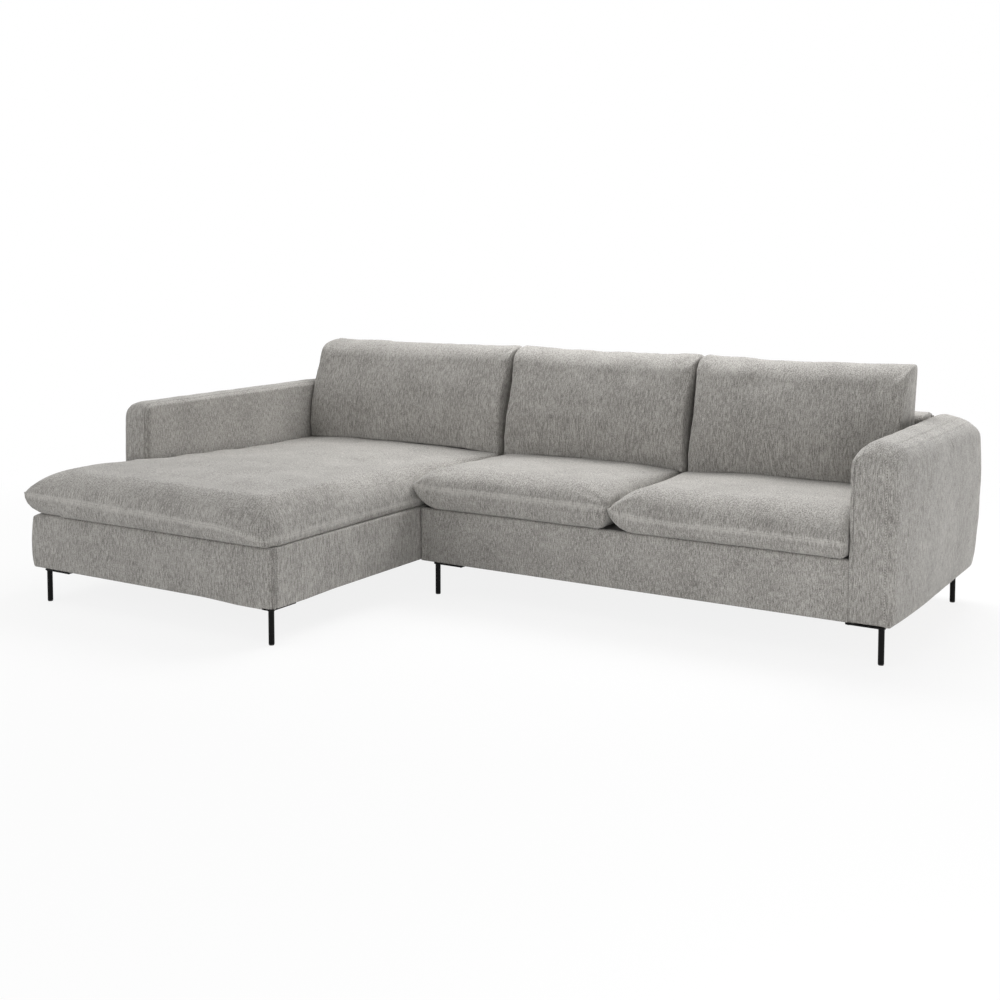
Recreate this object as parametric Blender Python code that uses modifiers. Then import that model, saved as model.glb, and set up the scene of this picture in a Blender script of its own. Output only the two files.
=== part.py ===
"""Corner sofa: a chaise module and a two-seat module linked side by side, with loose seat and back cushions.

Metres, +Z up, floor at zero. Seen from the front, +X runs to the right and +Y to the back. Pieces are laid out
from the plane where the two modules meet (X zero) and from the front of the two-seat module's base (Y zero),
and the whole sofa is then centred over the origin.
"""

import math

import bmesh
import bpy
from mathutils import Vector

# Clearances
GAP = 0.0003
MODULE_GAP = 0.006
CUSHION_GAP = 0.001
PIN_CLEARANCE = 0.001

# Upholstered base
BASE_BOTTOM = 0.120
BASE_HEIGHT = 0.200
SEATER_WIDTH = 1.772
SEATER_DEPTH = 0.976
CHAISE_WIDTH = 1.133
CHAISE_DEPTH = 1.807
BORDER = 0.022
BORDER_ROUND = 0.010
RAIL = 0.025
DUST_COVER = 0.0015
WEBBING = 0.0025
STRAP_WIDTH = 0.070
DECK_PAD = 0.015

# Arms and backs
ARM_WIDTH = 0.142
ARM_HEIGHT = 0.565
ARM_SETBACK = 0.423
LEFT_ARM_FRONT_ROUND = 0.045
RIGHT_ARM_FRONT_ROUND = 0.075
ARM_REAR_ROUND = 0.100
ARM_BULGE = 0.042
ARM_SHOULDER = 0.030
ARM_EDGE = 0.012
ARM_PADDING = 0.024
ARM_TOP_PADDING = 0.034
BACK_THICKNESS = 0.140
BACK_HEIGHT = 0.563
BACK_PADDING = 0.024
BACK_ROUND = 0.030
WINDOW_WIDTH = 0.200
WINDOW_HEIGHT = 0.260
WINDOW_SILL = 0.120

# Seat cushions
SEAT_HEIGHT = 0.158
SEAT_REST_HEIGHT = 0.127
SEAM_HEIGHT = 0.066
SEAT_NOSE = 0.030
CHAISE_SIDE_OVERHANG = 0.034
CHAISE_NOSE = 0.030
CUSHION_REAR_ROOM = 0.030
BOTTOM_TUCK = 0.040
TOP_TUCK = 0.018
NOSE_REACH = 0.150
SIDE_REACH = 0.100
SNUG_REACH = 0.040
DRAW_IN = 0.006
NOTCH_EASE = 0.020
SEAT_CORE_INSET = 0.085
SEAT_CORE_WALL = 0.012
SEAT_CORE_HEIGHT = 0.085

# Back cushions
BACK_CUSHION_HEIGHT = 0.424
BACK_CUSHION_BOTTOM_DEPTH = 0.225
BACK_CUSHION_BELLY_DEPTH = 0.285
BACK_CUSHION_TOP_DEPTH = 0.125
BACK_CUSHION_SIDE_SHARE = 0.55
BACK_CORE_DEPTH = 0.100
BACK_CORE_INSET = 0.110
ZIP_LENGTH = 0.450
ZIP_SLOT = 0.003

# Legs
TUBE_RADIUS = 0.0098
TUBE_WALL = 0.0015
PLATE_THICKNESS = 0.005
PLATE_LENGTH = 0.125
PLATE_WIDTH = 0.044
PLATE_CORNER = 0.004
TUBE_EDGE = 0.012
GLIDE_FLANGE = 0.004
GLIDE_STEM = 0.018
FRONT_LEG_INSET = 0.011
REAR_LEG_INSET = 0.077
CHAISE_LEFT_LEG_INSET = 0.060
CHAISE_RIGHT_LEG_INSET = 0.013
SEATER_LEFT_LEG_INSET = 0.071
SEATER_RIGHT_LEG_INSET = 0.038
ROUND_SIDES = 16

# Module link
LINK_REACH = 0.050
LINK_WIDTH = 0.044
LINK_PLATE = 0.003
PIN_RADIUS = 0.005
PIN_LENGTH = 0.016
FRONT_LINK_FROM_FRONT = 0.160
REAR_LINK_FROM_BACK = 0.240

# Where things stand
BASE_TOP = BASE_BOTTOM + BASE_HEIGHT
CHAISE_RIGHT = -MODULE_GAP / 2
CHAISE_LEFT = CHAISE_RIGHT - CHAISE_WIDTH
CHAISE_FRONT = SEATER_DEPTH - CHAISE_DEPTH
SEATER_LEFT = MODULE_GAP / 2
SEATER_RIGHT = SEATER_LEFT + SEATER_WIDTH
SEATER_FRONT = 0.0
REAR = SEATER_DEPTH
BACK_FRONT = REAR - BACK_THICKNESS
LEFT_ARM_FRONT = CHAISE_FRONT + ARM_SETBACK
LEFT_ARM_INNER = CHAISE_LEFT + ARM_WIDTH
RIGHT_ARM_INNER = SEATER_RIGHT - ARM_WIDTH
RAIL_BOTTOM = BASE_BOTTOM + DUST_COVER + GAP
PAD_TOP = BASE_TOP - GAP
PAD_BOTTOM = PAD_TOP - DECK_PAD
WEBBING_TOP = PAD_BOTTOM - GAP
WEBBING_BOTTOM = WEBBING_TOP - WEBBING
RAIL_TOP = WEBBING_BOTTOM - GAP
BACK_CUSHION_BOTTOM = BASE_TOP + SEAT_REST_HEIGHT + GAP
BACK_CUSHION_REAR = BACK_FRONT - GAP
SEAT_REST_FRONT = BACK_CUSHION_REAR - BACK_CUSHION_BELLY_DEPTH

FABRIC = ("fabric_grey", (0.288, 0.275, 0.257), 0.95, 0.0)
WOOD = ("frame_wood", (0.560, 0.400, 0.240), 0.70, 0.0)
BLACK_METAL = ("leg_black", (0.012, 0.012, 0.013), 0.45, 0.6)
BLACK_PLASTIC = ("glide_black", (0.020, 0.020, 0.020), 0.55, 0.0)
LINING = ("lining_black", (0.020, 0.020, 0.021), 0.95, 0.0)
DECK_CLOTH = ("deck_cloth_grey", (0.120, 0.115, 0.110), 0.95, 0.0)
ELASTIC = ("webbing_black", (0.035, 0.033, 0.032), 0.85, 0.0)
FOAM = ("foam_white", (0.780, 0.770, 0.720), 0.90, 0.0)
ZINC = ("link_zinc", (0.560, 0.560, 0.570), 0.35, 0.9)


def clear_scene():
    for old in list(bpy.data.objects):
        bpy.data.objects.remove(old, do_unlink=True)


def new_collection(name, hidden):
    made = bpy.data.collections.new(name)
    bpy.context.scene.collection.children.link(made)
    made.hide_render = hidden
    return made


clear_scene()
PARTS = new_collection("corner_sofa", False)
CUTTERS = new_collection("corner_sofa_cutters", True)


def new_empty(name, parent):
    made = bpy.data.objects.new(name, None)
    made.parent = parent
    PARTS.objects.link(made)
    return made


ORIGIN = new_empty("corner_sofa_origin", None)
CHAISE = new_empty("chaise_module", ORIGIN)
SEATER = new_empty("seater_module", ORIGIN)


def finish_material(finish):
    """The Principled material of this finish, made once."""
    name, colour, roughness, metallic = finish
    made = bpy.data.materials.get(name)
    if made is None:
        made = bpy.data.materials.new(name)
        made.use_nodes = True
        shader = made.node_tree.nodes["Principled BSDF"]
        shader.inputs["Base Color"].default_value = (*colour, 1.0)
        shader.inputs["Roughness"].default_value = roughness
        shader.inputs["Metallic"].default_value = metallic
        made.diffuse_color = (*colour, 1.0)
    return made


def object_of(name, bm, centre, parent, finish, smooth=False):
    """An object of this mesh, which is drawn about its own centre."""
    bmesh.ops.recalc_face_normals(bm, faces=bm.faces[:])
    mesh = bpy.data.meshes.new(name)
    bm.to_mesh(mesh)
    bm.free()
    if smooth:
        mesh.shade_smooth()
    made = bpy.data.objects.new(name, mesh)
    made.location = centre
    made.parent = parent
    if finish is None:
        CUTTERS.objects.link(made)
        made.hide_render = True
        made.display_type = "WIRE"
    else:
        PARTS.objects.link(made)
        mesh.materials.append(finish_material(finish))
    return made


def middle(low, high):
    return (Vector(low) + Vector(high)) / 2


def cube_mesh(low, high, about):
    bm = bmesh.new()
    size = Vector(high) - Vector(low)
    bmesh.ops.create_cube(bm, size=1.0)
    bmesh.ops.scale(bm, vec=size, verts=bm.verts[:])
    bmesh.ops.translate(bm, vec=middle(low, high) - about, verts=bm.verts[:])
    return bm


def box(name, low, high, parent, finish, rounding=0.0, segments=2):
    """A straight piece between two corners, with its edges eased by a Bevel modifier."""
    centre = middle(low, high)
    made = object_of(name, cube_mesh(low, high, centre), centre, parent, finish)
    if rounding:
        bevel = made.modifiers.new("eased_edges", "BEVEL")
        bevel.width = rounding
        bevel.segments = segments
        bevel.limit_method = "ANGLE"
    return made


def cut(piece, cutter, operation="DIFFERENCE"):
    boolean = piece.modifiers.new(cutter.name, "BOOLEAN")
    boolean.operation = operation
    boolean.solver = "EXACT"
    boolean.object = cutter


def cylinder_mesh(radius, bottom, top, centre=(0.0, 0.0), tip=None):
    """An upright round bar; tip is the radius at its lower end where that differs."""
    bm = bmesh.new()
    bmesh.ops.create_cone(
        bm,
        cap_ends=True,
        segments=ROUND_SIDES,
        radius1=radius if tip is None else tip,
        radius2=radius,
        depth=top - bottom,
    )
    bmesh.ops.translate(bm, vec=(*centre, (bottom + top) / 2), verts=bm.verts[:])
    return bm


def plan_mesh(xs, ys, heights, absent=None):
    """A body raised from a flat grid: grid lines at xs and ys, levels at heights, cells left out where absent."""
    bm = bmesh.new()
    columns = len(xs) - 1
    rows = len(ys) - 1
    bmesh.ops.create_grid(bm, x_segments=columns, y_segments=rows, size=0.5)
    for vert in bm.verts:
        vert.co.x = xs[round((vert.co.x + 0.5) * columns)]
        vert.co.y = ys[round((vert.co.y + 0.5) * rows)]
        vert.co.z = heights[0]
    if absent:
        gone = [face for face in bm.faces if absent(*face.calc_center_median().xy)]
        bmesh.ops.delete(bm, geom=gone, context="FACES")
    sheet = bm.faces[:]
    for lower, upper in zip(heights, heights[1:]):
        made = bmesh.ops.extrude_face_region(bm, geom=sheet, use_keep_orig=True)["geom"]
        if lower != heights[0]:
            bmesh.ops.delete(bm, geom=sheet, context="FACES")
        risen = [item for item in made if isinstance(item, bmesh.types.BMVert)]
        bmesh.ops.translate(bm, vec=(0.0, 0.0, upper - lower), verts=risen)
        sheet = [item for item in made if isinstance(item, bmesh.types.BMFace)]
    return bm


def spread(start, end, count):
    """Evenly spaced grid lines from start to end."""
    return [start + (end - start) * step / count for step in range(count + 1)]


def close_to(a, b):
    return abs(a - b) < GAP / 4


def subdivide(piece, levels=1):
    soft = piece.modifiers.new("soft_form", "SUBSURF")
    soft.levels = levels
    soft.render_levels = levels


# Base frames, webbing, deck pads, dust covers and borders


def chaise_inner():
    """The chaise base inside its borders: left, right, front, rear, and the two lines of the arm's notch."""
    return (
        CHAISE_LEFT + BORDER + GAP,
        CHAISE_RIGHT - BORDER - GAP,
        CHAISE_FRONT + BORDER + GAP,
        BACK_FRONT - GAP,
        LEFT_ARM_INNER + GAP,
        LEFT_ARM_FRONT - GAP,
    )


def seater_inner():
    """The two-seat base behind its border: left, right, front, rear. Its joining side has no border."""
    return SEATER_LEFT, RIGHT_ARM_INNER - GAP, SEATER_FRONT + BORDER + GAP, BACK_FRONT - GAP


def rail(name, left, right, front, rear, parent):
    low = (left, front, RAIL_BOTTOM)
    high = (right, rear, RAIL_TOP)
    return box(name, low, high, parent, WOOD, rounding=0.002, segments=1)


def make_chaise_frame():
    left, right, front, rear, notch_x, notch_y = chaise_inner()
    inside_right = right - RAIL - GAP
    rail("chaise_frame_front_rail", left, right, front, front + RAIL, CHAISE)
    rail("chaise_frame_rear_rail", notch_x, right, rear - RAIL, rear, CHAISE)
    rail("chaise_frame_right_rail", right - RAIL, right, front + RAIL + GAP, rear - RAIL - GAP, CHAISE)
    rail("chaise_frame_step_rail", left, inside_right, notch_y - RAIL, notch_y, CHAISE)
    rail("chaise_frame_left_front_rail", left, left + RAIL, front + RAIL + GAP, notch_y - RAIL - GAP, CHAISE)
    rail("chaise_frame_left_rail", notch_x, notch_x + RAIL, notch_y + GAP, rear - RAIL - GAP, CHAISE)


def make_seater_frame():
    left, right, front, rear = seater_inner()
    rail("seater_frame_front_rail", left, right, front, front + RAIL, SEATER)
    rail("seater_frame_rear_rail", left, right, rear - RAIL, rear, SEATER)
    rail("seater_frame_left_rail", left, left + RAIL, front + RAIL + GAP, rear - RAIL - GAP, SEATER)
    rail("seater_frame_right_rail", right - RAIL, right, front + RAIL + GAP, rear - RAIL - GAP, SEATER)


def strap_lines(start, end, count):
    """Grid lines of parallel straps, the first and last flush with the ends."""
    pitch = (end - start - STRAP_WIDTH) / (count - 1)
    lines = []
    for step in range(count):
        lines += [start + pitch * step, start + pitch * step + STRAP_WIDTH]
    return lines


def on_strap(lines, place):
    return any(first < place < last for first, last in zip(lines[::2], lines[1::2]))


def webbing(name, xs, ys, notched, parent):
    """Elastic straps laid both ways over the rails and joined where they cross."""

    def open_cell(x, y):
        return notched(x, y) or not (on_strap(xs, x) or on_strap(ys, y))

    bm = plan_mesh(xs, ys, (WEBBING_BOTTOM, WEBBING_TOP), open_cell)
    return object_of(name, bm, (0.0, 0.0, 0.0), parent, ELASTIC)


def make_chaise_deck():
    left, right, front, rear, notch_x, notch_y = chaise_inner()

    def notched(x, y):
        return x < notch_x and y > notch_y

    xs = [left, left + STRAP_WIDTH] + strap_lines(notch_x, right, 5)
    ys = strap_lines(front, notch_y, 3) + strap_lines(notch_y + 2 * STRAP_WIDTH, rear, 5)
    webbing("chaise_webbing", xs, ys, notched, CHAISE)
    outline = ((left, notch_x, right), (front, notch_y, rear))
    pad = plan_mesh(*outline, (PAD_BOTTOM, PAD_TOP), notched)
    object_of("chaise_deck_pad", pad, (0.0, 0.0, 0.0), CHAISE, DECK_CLOTH)
    dust = plan_mesh(*outline, (BASE_BOTTOM, BASE_BOTTOM + DUST_COVER), notched)
    object_of("chaise_dust_cover", dust, (0.0, 0.0, 0.0), CHAISE, LINING)


def make_seater_deck():
    left, right, front, rear = seater_inner()
    xs = strap_lines(left, right, 8)
    ys = strap_lines(front, rear, 4)
    webbing("seater_webbing", xs, ys, lambda x, y: False, SEATER)
    box("seater_deck_pad", (left, front, PAD_BOTTOM), (right, rear, PAD_TOP), SEATER, DECK_CLOTH)
    top = BASE_BOTTOM + DUST_COVER
    box("seater_dust_cover", (left, front, BASE_BOTTOM), (right, rear, top), SEATER, LINING)


def border(name, left, right, front, rear, parent):
    """A padded strip of upholstery over one side of the base."""
    low = (left, front, BASE_BOTTOM)
    high = (right, rear, PAD_TOP)
    return box(name, low, high, parent, FABRIC, rounding=BORDER_ROUND, segments=3)


def make_borders():
    front = CHAISE_FRONT + BORDER
    border("chaise_front_border", CHAISE_LEFT, CHAISE_RIGHT, CHAISE_FRONT, front, CHAISE)
    rear = LEFT_ARM_FRONT - GAP
    border("chaise_left_border", CHAISE_LEFT, CHAISE_LEFT + BORDER, front + GAP, rear, CHAISE)
    rear = BACK_FRONT - GAP
    border("chaise_right_border", CHAISE_RIGHT - BORDER, CHAISE_RIGHT, front + GAP, rear, CHAISE)
    front = SEATER_FRONT + BORDER
    border("seater_front_border", SEATER_LEFT, RIGHT_ARM_INNER - GAP, SEATER_FRONT, front, SEATER)


# Arms and backs: an inner frame of board under one padded cover


def windows(name, low, high, across, parent):
    """The openings that lighten a frame board, cut through it along the axis named by across."""
    bm = bmesh.new()
    along = 1 - across
    length = high[along] - low[along]
    count = int(length / (WINDOW_WIDTH * 1.4))
    pitch = length / count
    for step in range(count):
        lower = [0.0, 0.0, low[2] + WINDOW_SILL]
        upper = [0.0, 0.0, low[2] + WINDOW_SILL + WINDOW_HEIGHT]
        place = low[along] + pitch * (step + 0.5)
        lower[along], upper[along] = place - WINDOW_WIDTH / 2, place + WINDOW_WIDTH / 2
        lower[across], upper[across] = low[across] - RAIL, high[across] + RAIL
        size = Vector(upper) - Vector(lower)
        cube = bmesh.ops.create_cube(bm, size=1.0)["verts"]
        bmesh.ops.scale(bm, vec=size, verts=cube)
        bmesh.ops.translate(bm, vec=middle(lower, upper), verts=cube)
    return object_of(name, bm, (0.0, 0.0, 0.0), parent, None)


def rounded_board(low, high, front_round, rear_round, about):
    """A board in the YZ plane whose two top corners are rounded."""
    bm = cube_mesh(low, high, about)
    for place, radius in ((low[1], front_round), (high[1], rear_round)):
        edge = [
            edge
            for edge in bm.edges
            if all(close_to(v.co.z, high[2] - about.z) and close_to(v.co.y, place - about.y) for v in edge.verts)
        ]
        bmesh.ops.bevel(bm, geom=edge, offset=radius, segments=3, profile=0.5, affect="EDGES")
    return bm


def arm_cage(length, front_round, outward):
    """Padded arm: inner face at X zero, front at Y zero, bottom at Z zero. outward is the side it bulges to."""
    low = Vector((0.0, 0.0, 0.0))
    high = Vector((ARM_WIDTH, length, ARM_HEIGHT))
    bm = cube_mesh(low, high, low)
    loops = {
        0: (ARM_EDGE, ARM_WIDTH - ARM_SHOULDER),
        1: (front_round, length * 0.30, length * 0.52, length * 0.72, length - ARM_REAR_ROUND),
        2: (ARM_EDGE, ARM_HEIGHT * 0.45, ARM_HEIGHT - ARM_REAR_ROUND, ARM_HEIGHT - ARM_SHOULDER),
    }
    for axis, places in loops.items():
        for place in places:
            normal = Vector((0.0, 0.0, 0.0))
            normal[axis] = 1.0
            geometry = bm.verts[:] + bm.edges[:] + bm.faces[:]
            bmesh.ops.bisect_plane(bm, geom=geometry, dist=GAP / 10, plane_co=normal * place, plane_no=normal)
    corner = 0.26
    for vert in bm.verts:
        x, y, z = vert.co
        along = y / length
        up = z / ARM_HEIGHT
        if close_to(x, ARM_WIDTH):
            swell = math.sin(math.pi * up**1.25) * (1.0 - abs(2.0 * along - 1.0) ** 3)
            vert.co.x += ARM_BULGE * swell
            if close_to(z, ARM_HEIGHT):
                vert.co.x -= ARM_SHOULDER
                vert.co.z -= ARM_SHOULDER * 0.25
            if close_to(z, 0.0):
                vert.co.x -= ARM_EDGE
        for end, radius, way in ((0.0, front_round, 1.0), (length, ARM_REAR_ROUND, -1.0)):
            if not close_to(y, end):
                continue
            reach = ARM_HEIGHT - z
            if reach < radius - GAP:
                share = 1.0 - reach / radius
                vert.co.y += way * radius * corner * share**0.5
                vert.co.z -= radius * corner * share**2
            if close_to(x, ARM_WIDTH):
                vert.co.y += way * ARM_EDGE * 0.5
    if outward < 0:
        bmesh.ops.scale(bm, vec=(-1.0, 1.0, 1.0), verts=bm.verts[:])
    return bm


def make_arm(side, inner, outward, front, front_round, parent):
    corner = Vector((inner, front, BASE_BOTTOM))
    cover = object_of(f"{side}_arm_cover", arm_cage(REAR - front, front_round, outward), corner, parent, FABRIC, True)
    subdivide(cover)
    near = inner + outward * (ARM_PADDING + GAP)
    far = inner + outward * (ARM_WIDTH - ARM_PADDING - GAP)
    low = Vector((min(near, far), front + ARM_PADDING, BASE_BOTTOM))
    high = Vector((max(near, far), REAR - ARM_PADDING, BASE_BOTTOM + ARM_HEIGHT - ARM_TOP_PADDING))
    centre = middle(low, high)
    board = rounded_board(low, high, front_round, ARM_REAR_ROUND, centre)
    frame = object_of(f"{side}_arm_frame", board, centre, parent, WOOD)
    cut(frame, windows(f"{side}_arm_windows", low, high, 0, parent))
    room = Vector((GAP, GAP, GAP))
    below = Vector((0.0, 0.0, ARM_PADDING))
    pocket = rounded_board(low - room - below, high + room, front_round, ARM_REAR_ROUND, centre)
    cut(cover, object_of(f"{side}_arm_pocket", pocket, centre, parent, None))


def make_back(side, left, right, parent):
    low = Vector((left, BACK_FRONT, BASE_BOTTOM))
    high = Vector((right, REAR, BASE_BOTTOM + BACK_HEIGHT))
    cover = box(f"{side}_back_cover", low, high, parent, FABRIC, rounding=BACK_ROUND, segments=3)
    inside_low = low + Vector((BACK_PADDING, BACK_PADDING, 0.0))
    inside_high = high - Vector((BACK_PADDING, BACK_PADDING, ARM_TOP_PADDING))
    frame = box(f"{side}_back_frame", inside_low, inside_high, parent, WOOD)
    cut(frame, windows(f"{side}_back_windows", inside_low, inside_high, 1, parent))
    room = Vector((GAP, GAP, GAP))
    below = Vector((0.0, 0.0, BACK_PADDING))
    pocket = box(f"{side}_back_pocket", inside_low - room - below, inside_high + room, parent, None)
    cut(cover, pocket)


def make_arms_and_backs():
    make_arm("left", LEFT_ARM_INNER, -1, LEFT_ARM_FRONT, LEFT_ARM_FRONT_ROUND, CHAISE)
    make_arm("right", RIGHT_ARM_INNER, 1, SEATER_FRONT, RIGHT_ARM_FRONT_ROUND, SEATER)
    make_back("chaise", LEFT_ARM_INNER + GAP, CHAISE_RIGHT, CHAISE)
    make_back("seater", SEATER_LEFT, RIGHT_ARM_INNER - GAP, SEATER)


# Cushions: a sewn cover with its fibre wrap, round a core, with a zip slot at the rear


def fullness(depth, reach):
    """How far a stuffed panel has risen this far in from its seam: 0 at the seam, 1 past its reach."""
    share = min(1.0, max(0.0, depth / reach))
    return math.sqrt(1.0 - (1.0 - share) ** 2)


class Plan:
    """The outline of a seat cushion seen from above, with an optional notch at its rear left.

    Its top takes side_reaches to rise from the left and right seams to its crown.
    """

    def __init__(self, left, right, front, rear, notch=None, side_reaches=(NOSE_REACH, SIDE_REACH)):
        self.left = left
        self.right = right
        self.front = front
        self.rear = rear
        self.notch = notch
        self.side_reaches = side_reaches

    def absent(self, x, y):
        return self.notch is not None and x < self.notch[0] and y > self.notch[1]

    def at_notch_corner(self, x, y):
        return self.notch is not None and close_to(x, self.notch[0]) and close_to(y, self.notch[1])

    def inward(self, x, y):
        """The way into the cushion from a point on its outline, or zero from a point inside it."""
        way = Vector((0.0, 0.0))
        if close_to(x, self.left):
            way.x = 1.0
        if close_to(x, self.right):
            way.x = -1.0
        if close_to(y, self.front):
            way.y = 1.0
        if close_to(y, self.rear):
            way.y = -1.0
        if self.notch is not None:
            if close_to(x, self.notch[0]) and y > self.notch[1] - GAP:
                way.x = 1.0
            if close_to(y, self.notch[1]) and x < self.notch[0] + GAP:
                way.y = -1.0
        return way

    def rise(self, x, y):
        """How far the top has risen from the seam to its crown here, the larger share where a notch parts it."""
        left_reach, right_reach = self.side_reaches
        across = fullness(self.right - x, right_reach) * fullness(y - self.front, NOSE_REACH)
        whole = fullness(x - self.left, left_reach) * fullness(self.rear - y, SNUG_REACH)
        if self.notch is not None:
            before_notch = fullness(x - self.left, left_reach) * fullness(self.notch[1] - y, SNUG_REACH)
            beside_notch = fullness(x - self.notch[0], SNUG_REACH) * fullness(self.rear - y, SNUG_REACH)
            whole = max(before_notch, beside_notch)
        return across * whole

    def shrunk(self, inset):
        notch = None
        if self.notch is not None:
            notch = (self.notch[0] + inset, self.notch[1] - inset)
        return Plan(self.left + inset, self.right - inset, self.front + inset, self.rear - inset, notch)


def crown_level(y):
    """The height of a seat cushion's crown: full at the front, falling evenly to where the back cushions rest."""
    share = min(1.0, max(0.0, (y - SEATER_FRONT) / (SEAT_REST_FRONT - SEATER_FRONT)))
    return BASE_TOP + SEAT_HEIGHT + (SEAT_REST_HEIGHT - SEAT_HEIGHT) * share


def pillow_mesh(plan, xs, ys):
    """A knife-edged seat cushion: flat below, crowned above, its seam ring part way up and drawn in along each side."""
    seam = BASE_TOP + SEAM_HEIGHT
    crown = BASE_TOP + SEAT_HEIGHT
    bm = plan_mesh(xs, ys, (BASE_TOP, seam, crown), plan.absent)
    creases = bm.edges.layers.float.new("crease_edge")
    ring = []
    for vert in bm.verts:
        x, y, z = vert.co
        way = plan.inward(x, y)
        if close_to(z, seam):
            ring.append(vert)
            across = abs(2.0 * (x - plan.left) / (plan.right - plan.left) - 1.0)
            along = abs(2.0 * (y - plan.front) / (plan.rear - plan.front) - 1.0)
            vert.co.x += way.x * DRAW_IN * (1.0 - along**2) * (1.0 - abs(way.y))
            vert.co.y += way.y * DRAW_IN * (1.0 - across**2) * (1.0 - abs(way.x))
            if plan.at_notch_corner(x, y):
                vert.co.xy += way * NOTCH_EASE
        elif close_to(z, BASE_TOP):
            vert.co.xy += way * BOTTOM_TUCK
        else:
            vert.co.xy += way * TOP_TUCK
            vert.co.z = seam + (crown_level(y) - seam) * plan.rise(vert.co.x, vert.co.y)
    for edge in bm.edges:
        if all(vert in ring for vert in edge.verts):
            edge[creases] = 0.9
    return bm


def seat_cushion(name, plan, columns, rows, parent):
    """columns and rows hold the grid lines inside the outline."""
    xs = [plan.left] + columns + [plan.right]
    ys = [plan.front] + rows + [plan.rear]
    cover = object_of(f"{name}_cover", pillow_mesh(plan, xs, ys), (0.0, 0.0, 0.0), parent, FABRIC, True)
    subdivide(cover)
    core = plan.shrunk(SEAT_CORE_INSET)
    room = core.shrunk(-GAP)
    low = BASE_TOP + SEAT_CORE_WALL
    high = low + SEAT_CORE_HEIGHT
    for outline, bottom, top, finish in ((core, low, high, FOAM), (room, low - GAP, high + GAP, None)):
        lines_x = [outline.left, outline.right]
        lines_y = [outline.front, outline.rear]
        if outline.notch is not None:
            lines_x.insert(1, outline.notch[0])
            lines_y.insert(1, outline.notch[1])
        block = plan_mesh(lines_x, lines_y, (bottom, top), outline.absent)
        suffix = "core" if finish else "core_room"
        made = object_of(f"{name}_{suffix}", block, (0.0, 0.0, 0.0), parent, finish)
    cut(cover, made)
    middle_x = (plan.right + (plan.notch[0] if plan.notch else plan.left)) / 2
    seam = BASE_TOP + SEAM_HEIGHT
    slot_low = (middle_x - ZIP_LENGTH / 2, core.rear - BORDER, seam - ZIP_SLOT / 2)
    slot_high = (middle_x + ZIP_LENGTH / 2, plan.rear + BORDER, seam + ZIP_SLOT / 2)
    cut(cover, box(f"{name}_zip_slot", slot_low, slot_high, parent, None))


def make_seat_cushions():
    edge = BOTTOM_TUCK * 1.5
    middle_x = (SEATER_LEFT + RIGHT_ARM_INNER) / 2
    rear = BACK_FRONT - CUSHION_REAR_ROOM
    last_rows = [SEAT_REST_FRONT / 2, SEAT_REST_FRONT, rear - edge]
    front = SEATER_FRONT - SEAT_NOSE
    rows = [front + edge, front + NOSE_REACH] + last_rows
    spans = (("left", SEATER_LEFT, middle_x, SIDE_REACH), ("right", middle_x, RIGHT_ARM_INNER, SNUG_REACH))
    for side, left, right, right_reach in spans:
        plan = Plan(
            left + CUSHION_GAP / 2, right - CUSHION_GAP / 2, front, rear, side_reaches=(NOSE_REACH, right_reach)
        )
        columns = [plan.left + edge] + spread(plan.left + NOSE_REACH, plan.right - NOSE_REACH, 3) + [plan.right - edge]
        seat_cushion(f"{side}_seat_cushion", plan, columns, rows, SEATER)
    notch = (LEFT_ARM_INNER + CUSHION_GAP / 2, LEFT_ARM_FRONT - CUSHION_GAP / 2)
    left = CHAISE_LEFT - CHAISE_SIDE_OVERHANG
    plan = Plan(left, CHAISE_RIGHT - CUSHION_GAP / 2, CHAISE_FRONT - CHAISE_NOSE, rear, notch)
    columns = [left + edge, notch[0]] + spread(notch[0] + edge, plan.right - NOSE_REACH, 3) + [plan.right - edge]
    rows = [plan.front + edge, plan.front + NOSE_REACH, notch[1] - edge, notch[1], notch[1] + edge] + last_rows
    seat_cushion("chaise_seat_cushion", plan, columns, rows, CHAISE)


def back_profile(height):
    """Front and rear of a back cushion at a share of its height."""
    belly = math.sin(math.pi * min(1.0, height * 1.9)) if height < 0.53 else 0.0
    base = BACK_CUSHION_BOTTOM_DEPTH + 0.035 * min(1.0, height * 4.0)
    lean = max(0.0, height - 0.20) / 0.80
    depth = base + (BACK_CUSHION_BELLY_DEPTH - base) * belly * 0.9
    depth -= (base - BACK_CUSHION_TOP_DEPTH - 0.045) * lean**1.3
    front = BACK_CUSHION_REAR - depth
    rear = BACK_CUSHION_REAR - 0.045 * max(0.0, (height - 0.75) / 0.25) ** 2
    return front, rear


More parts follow.
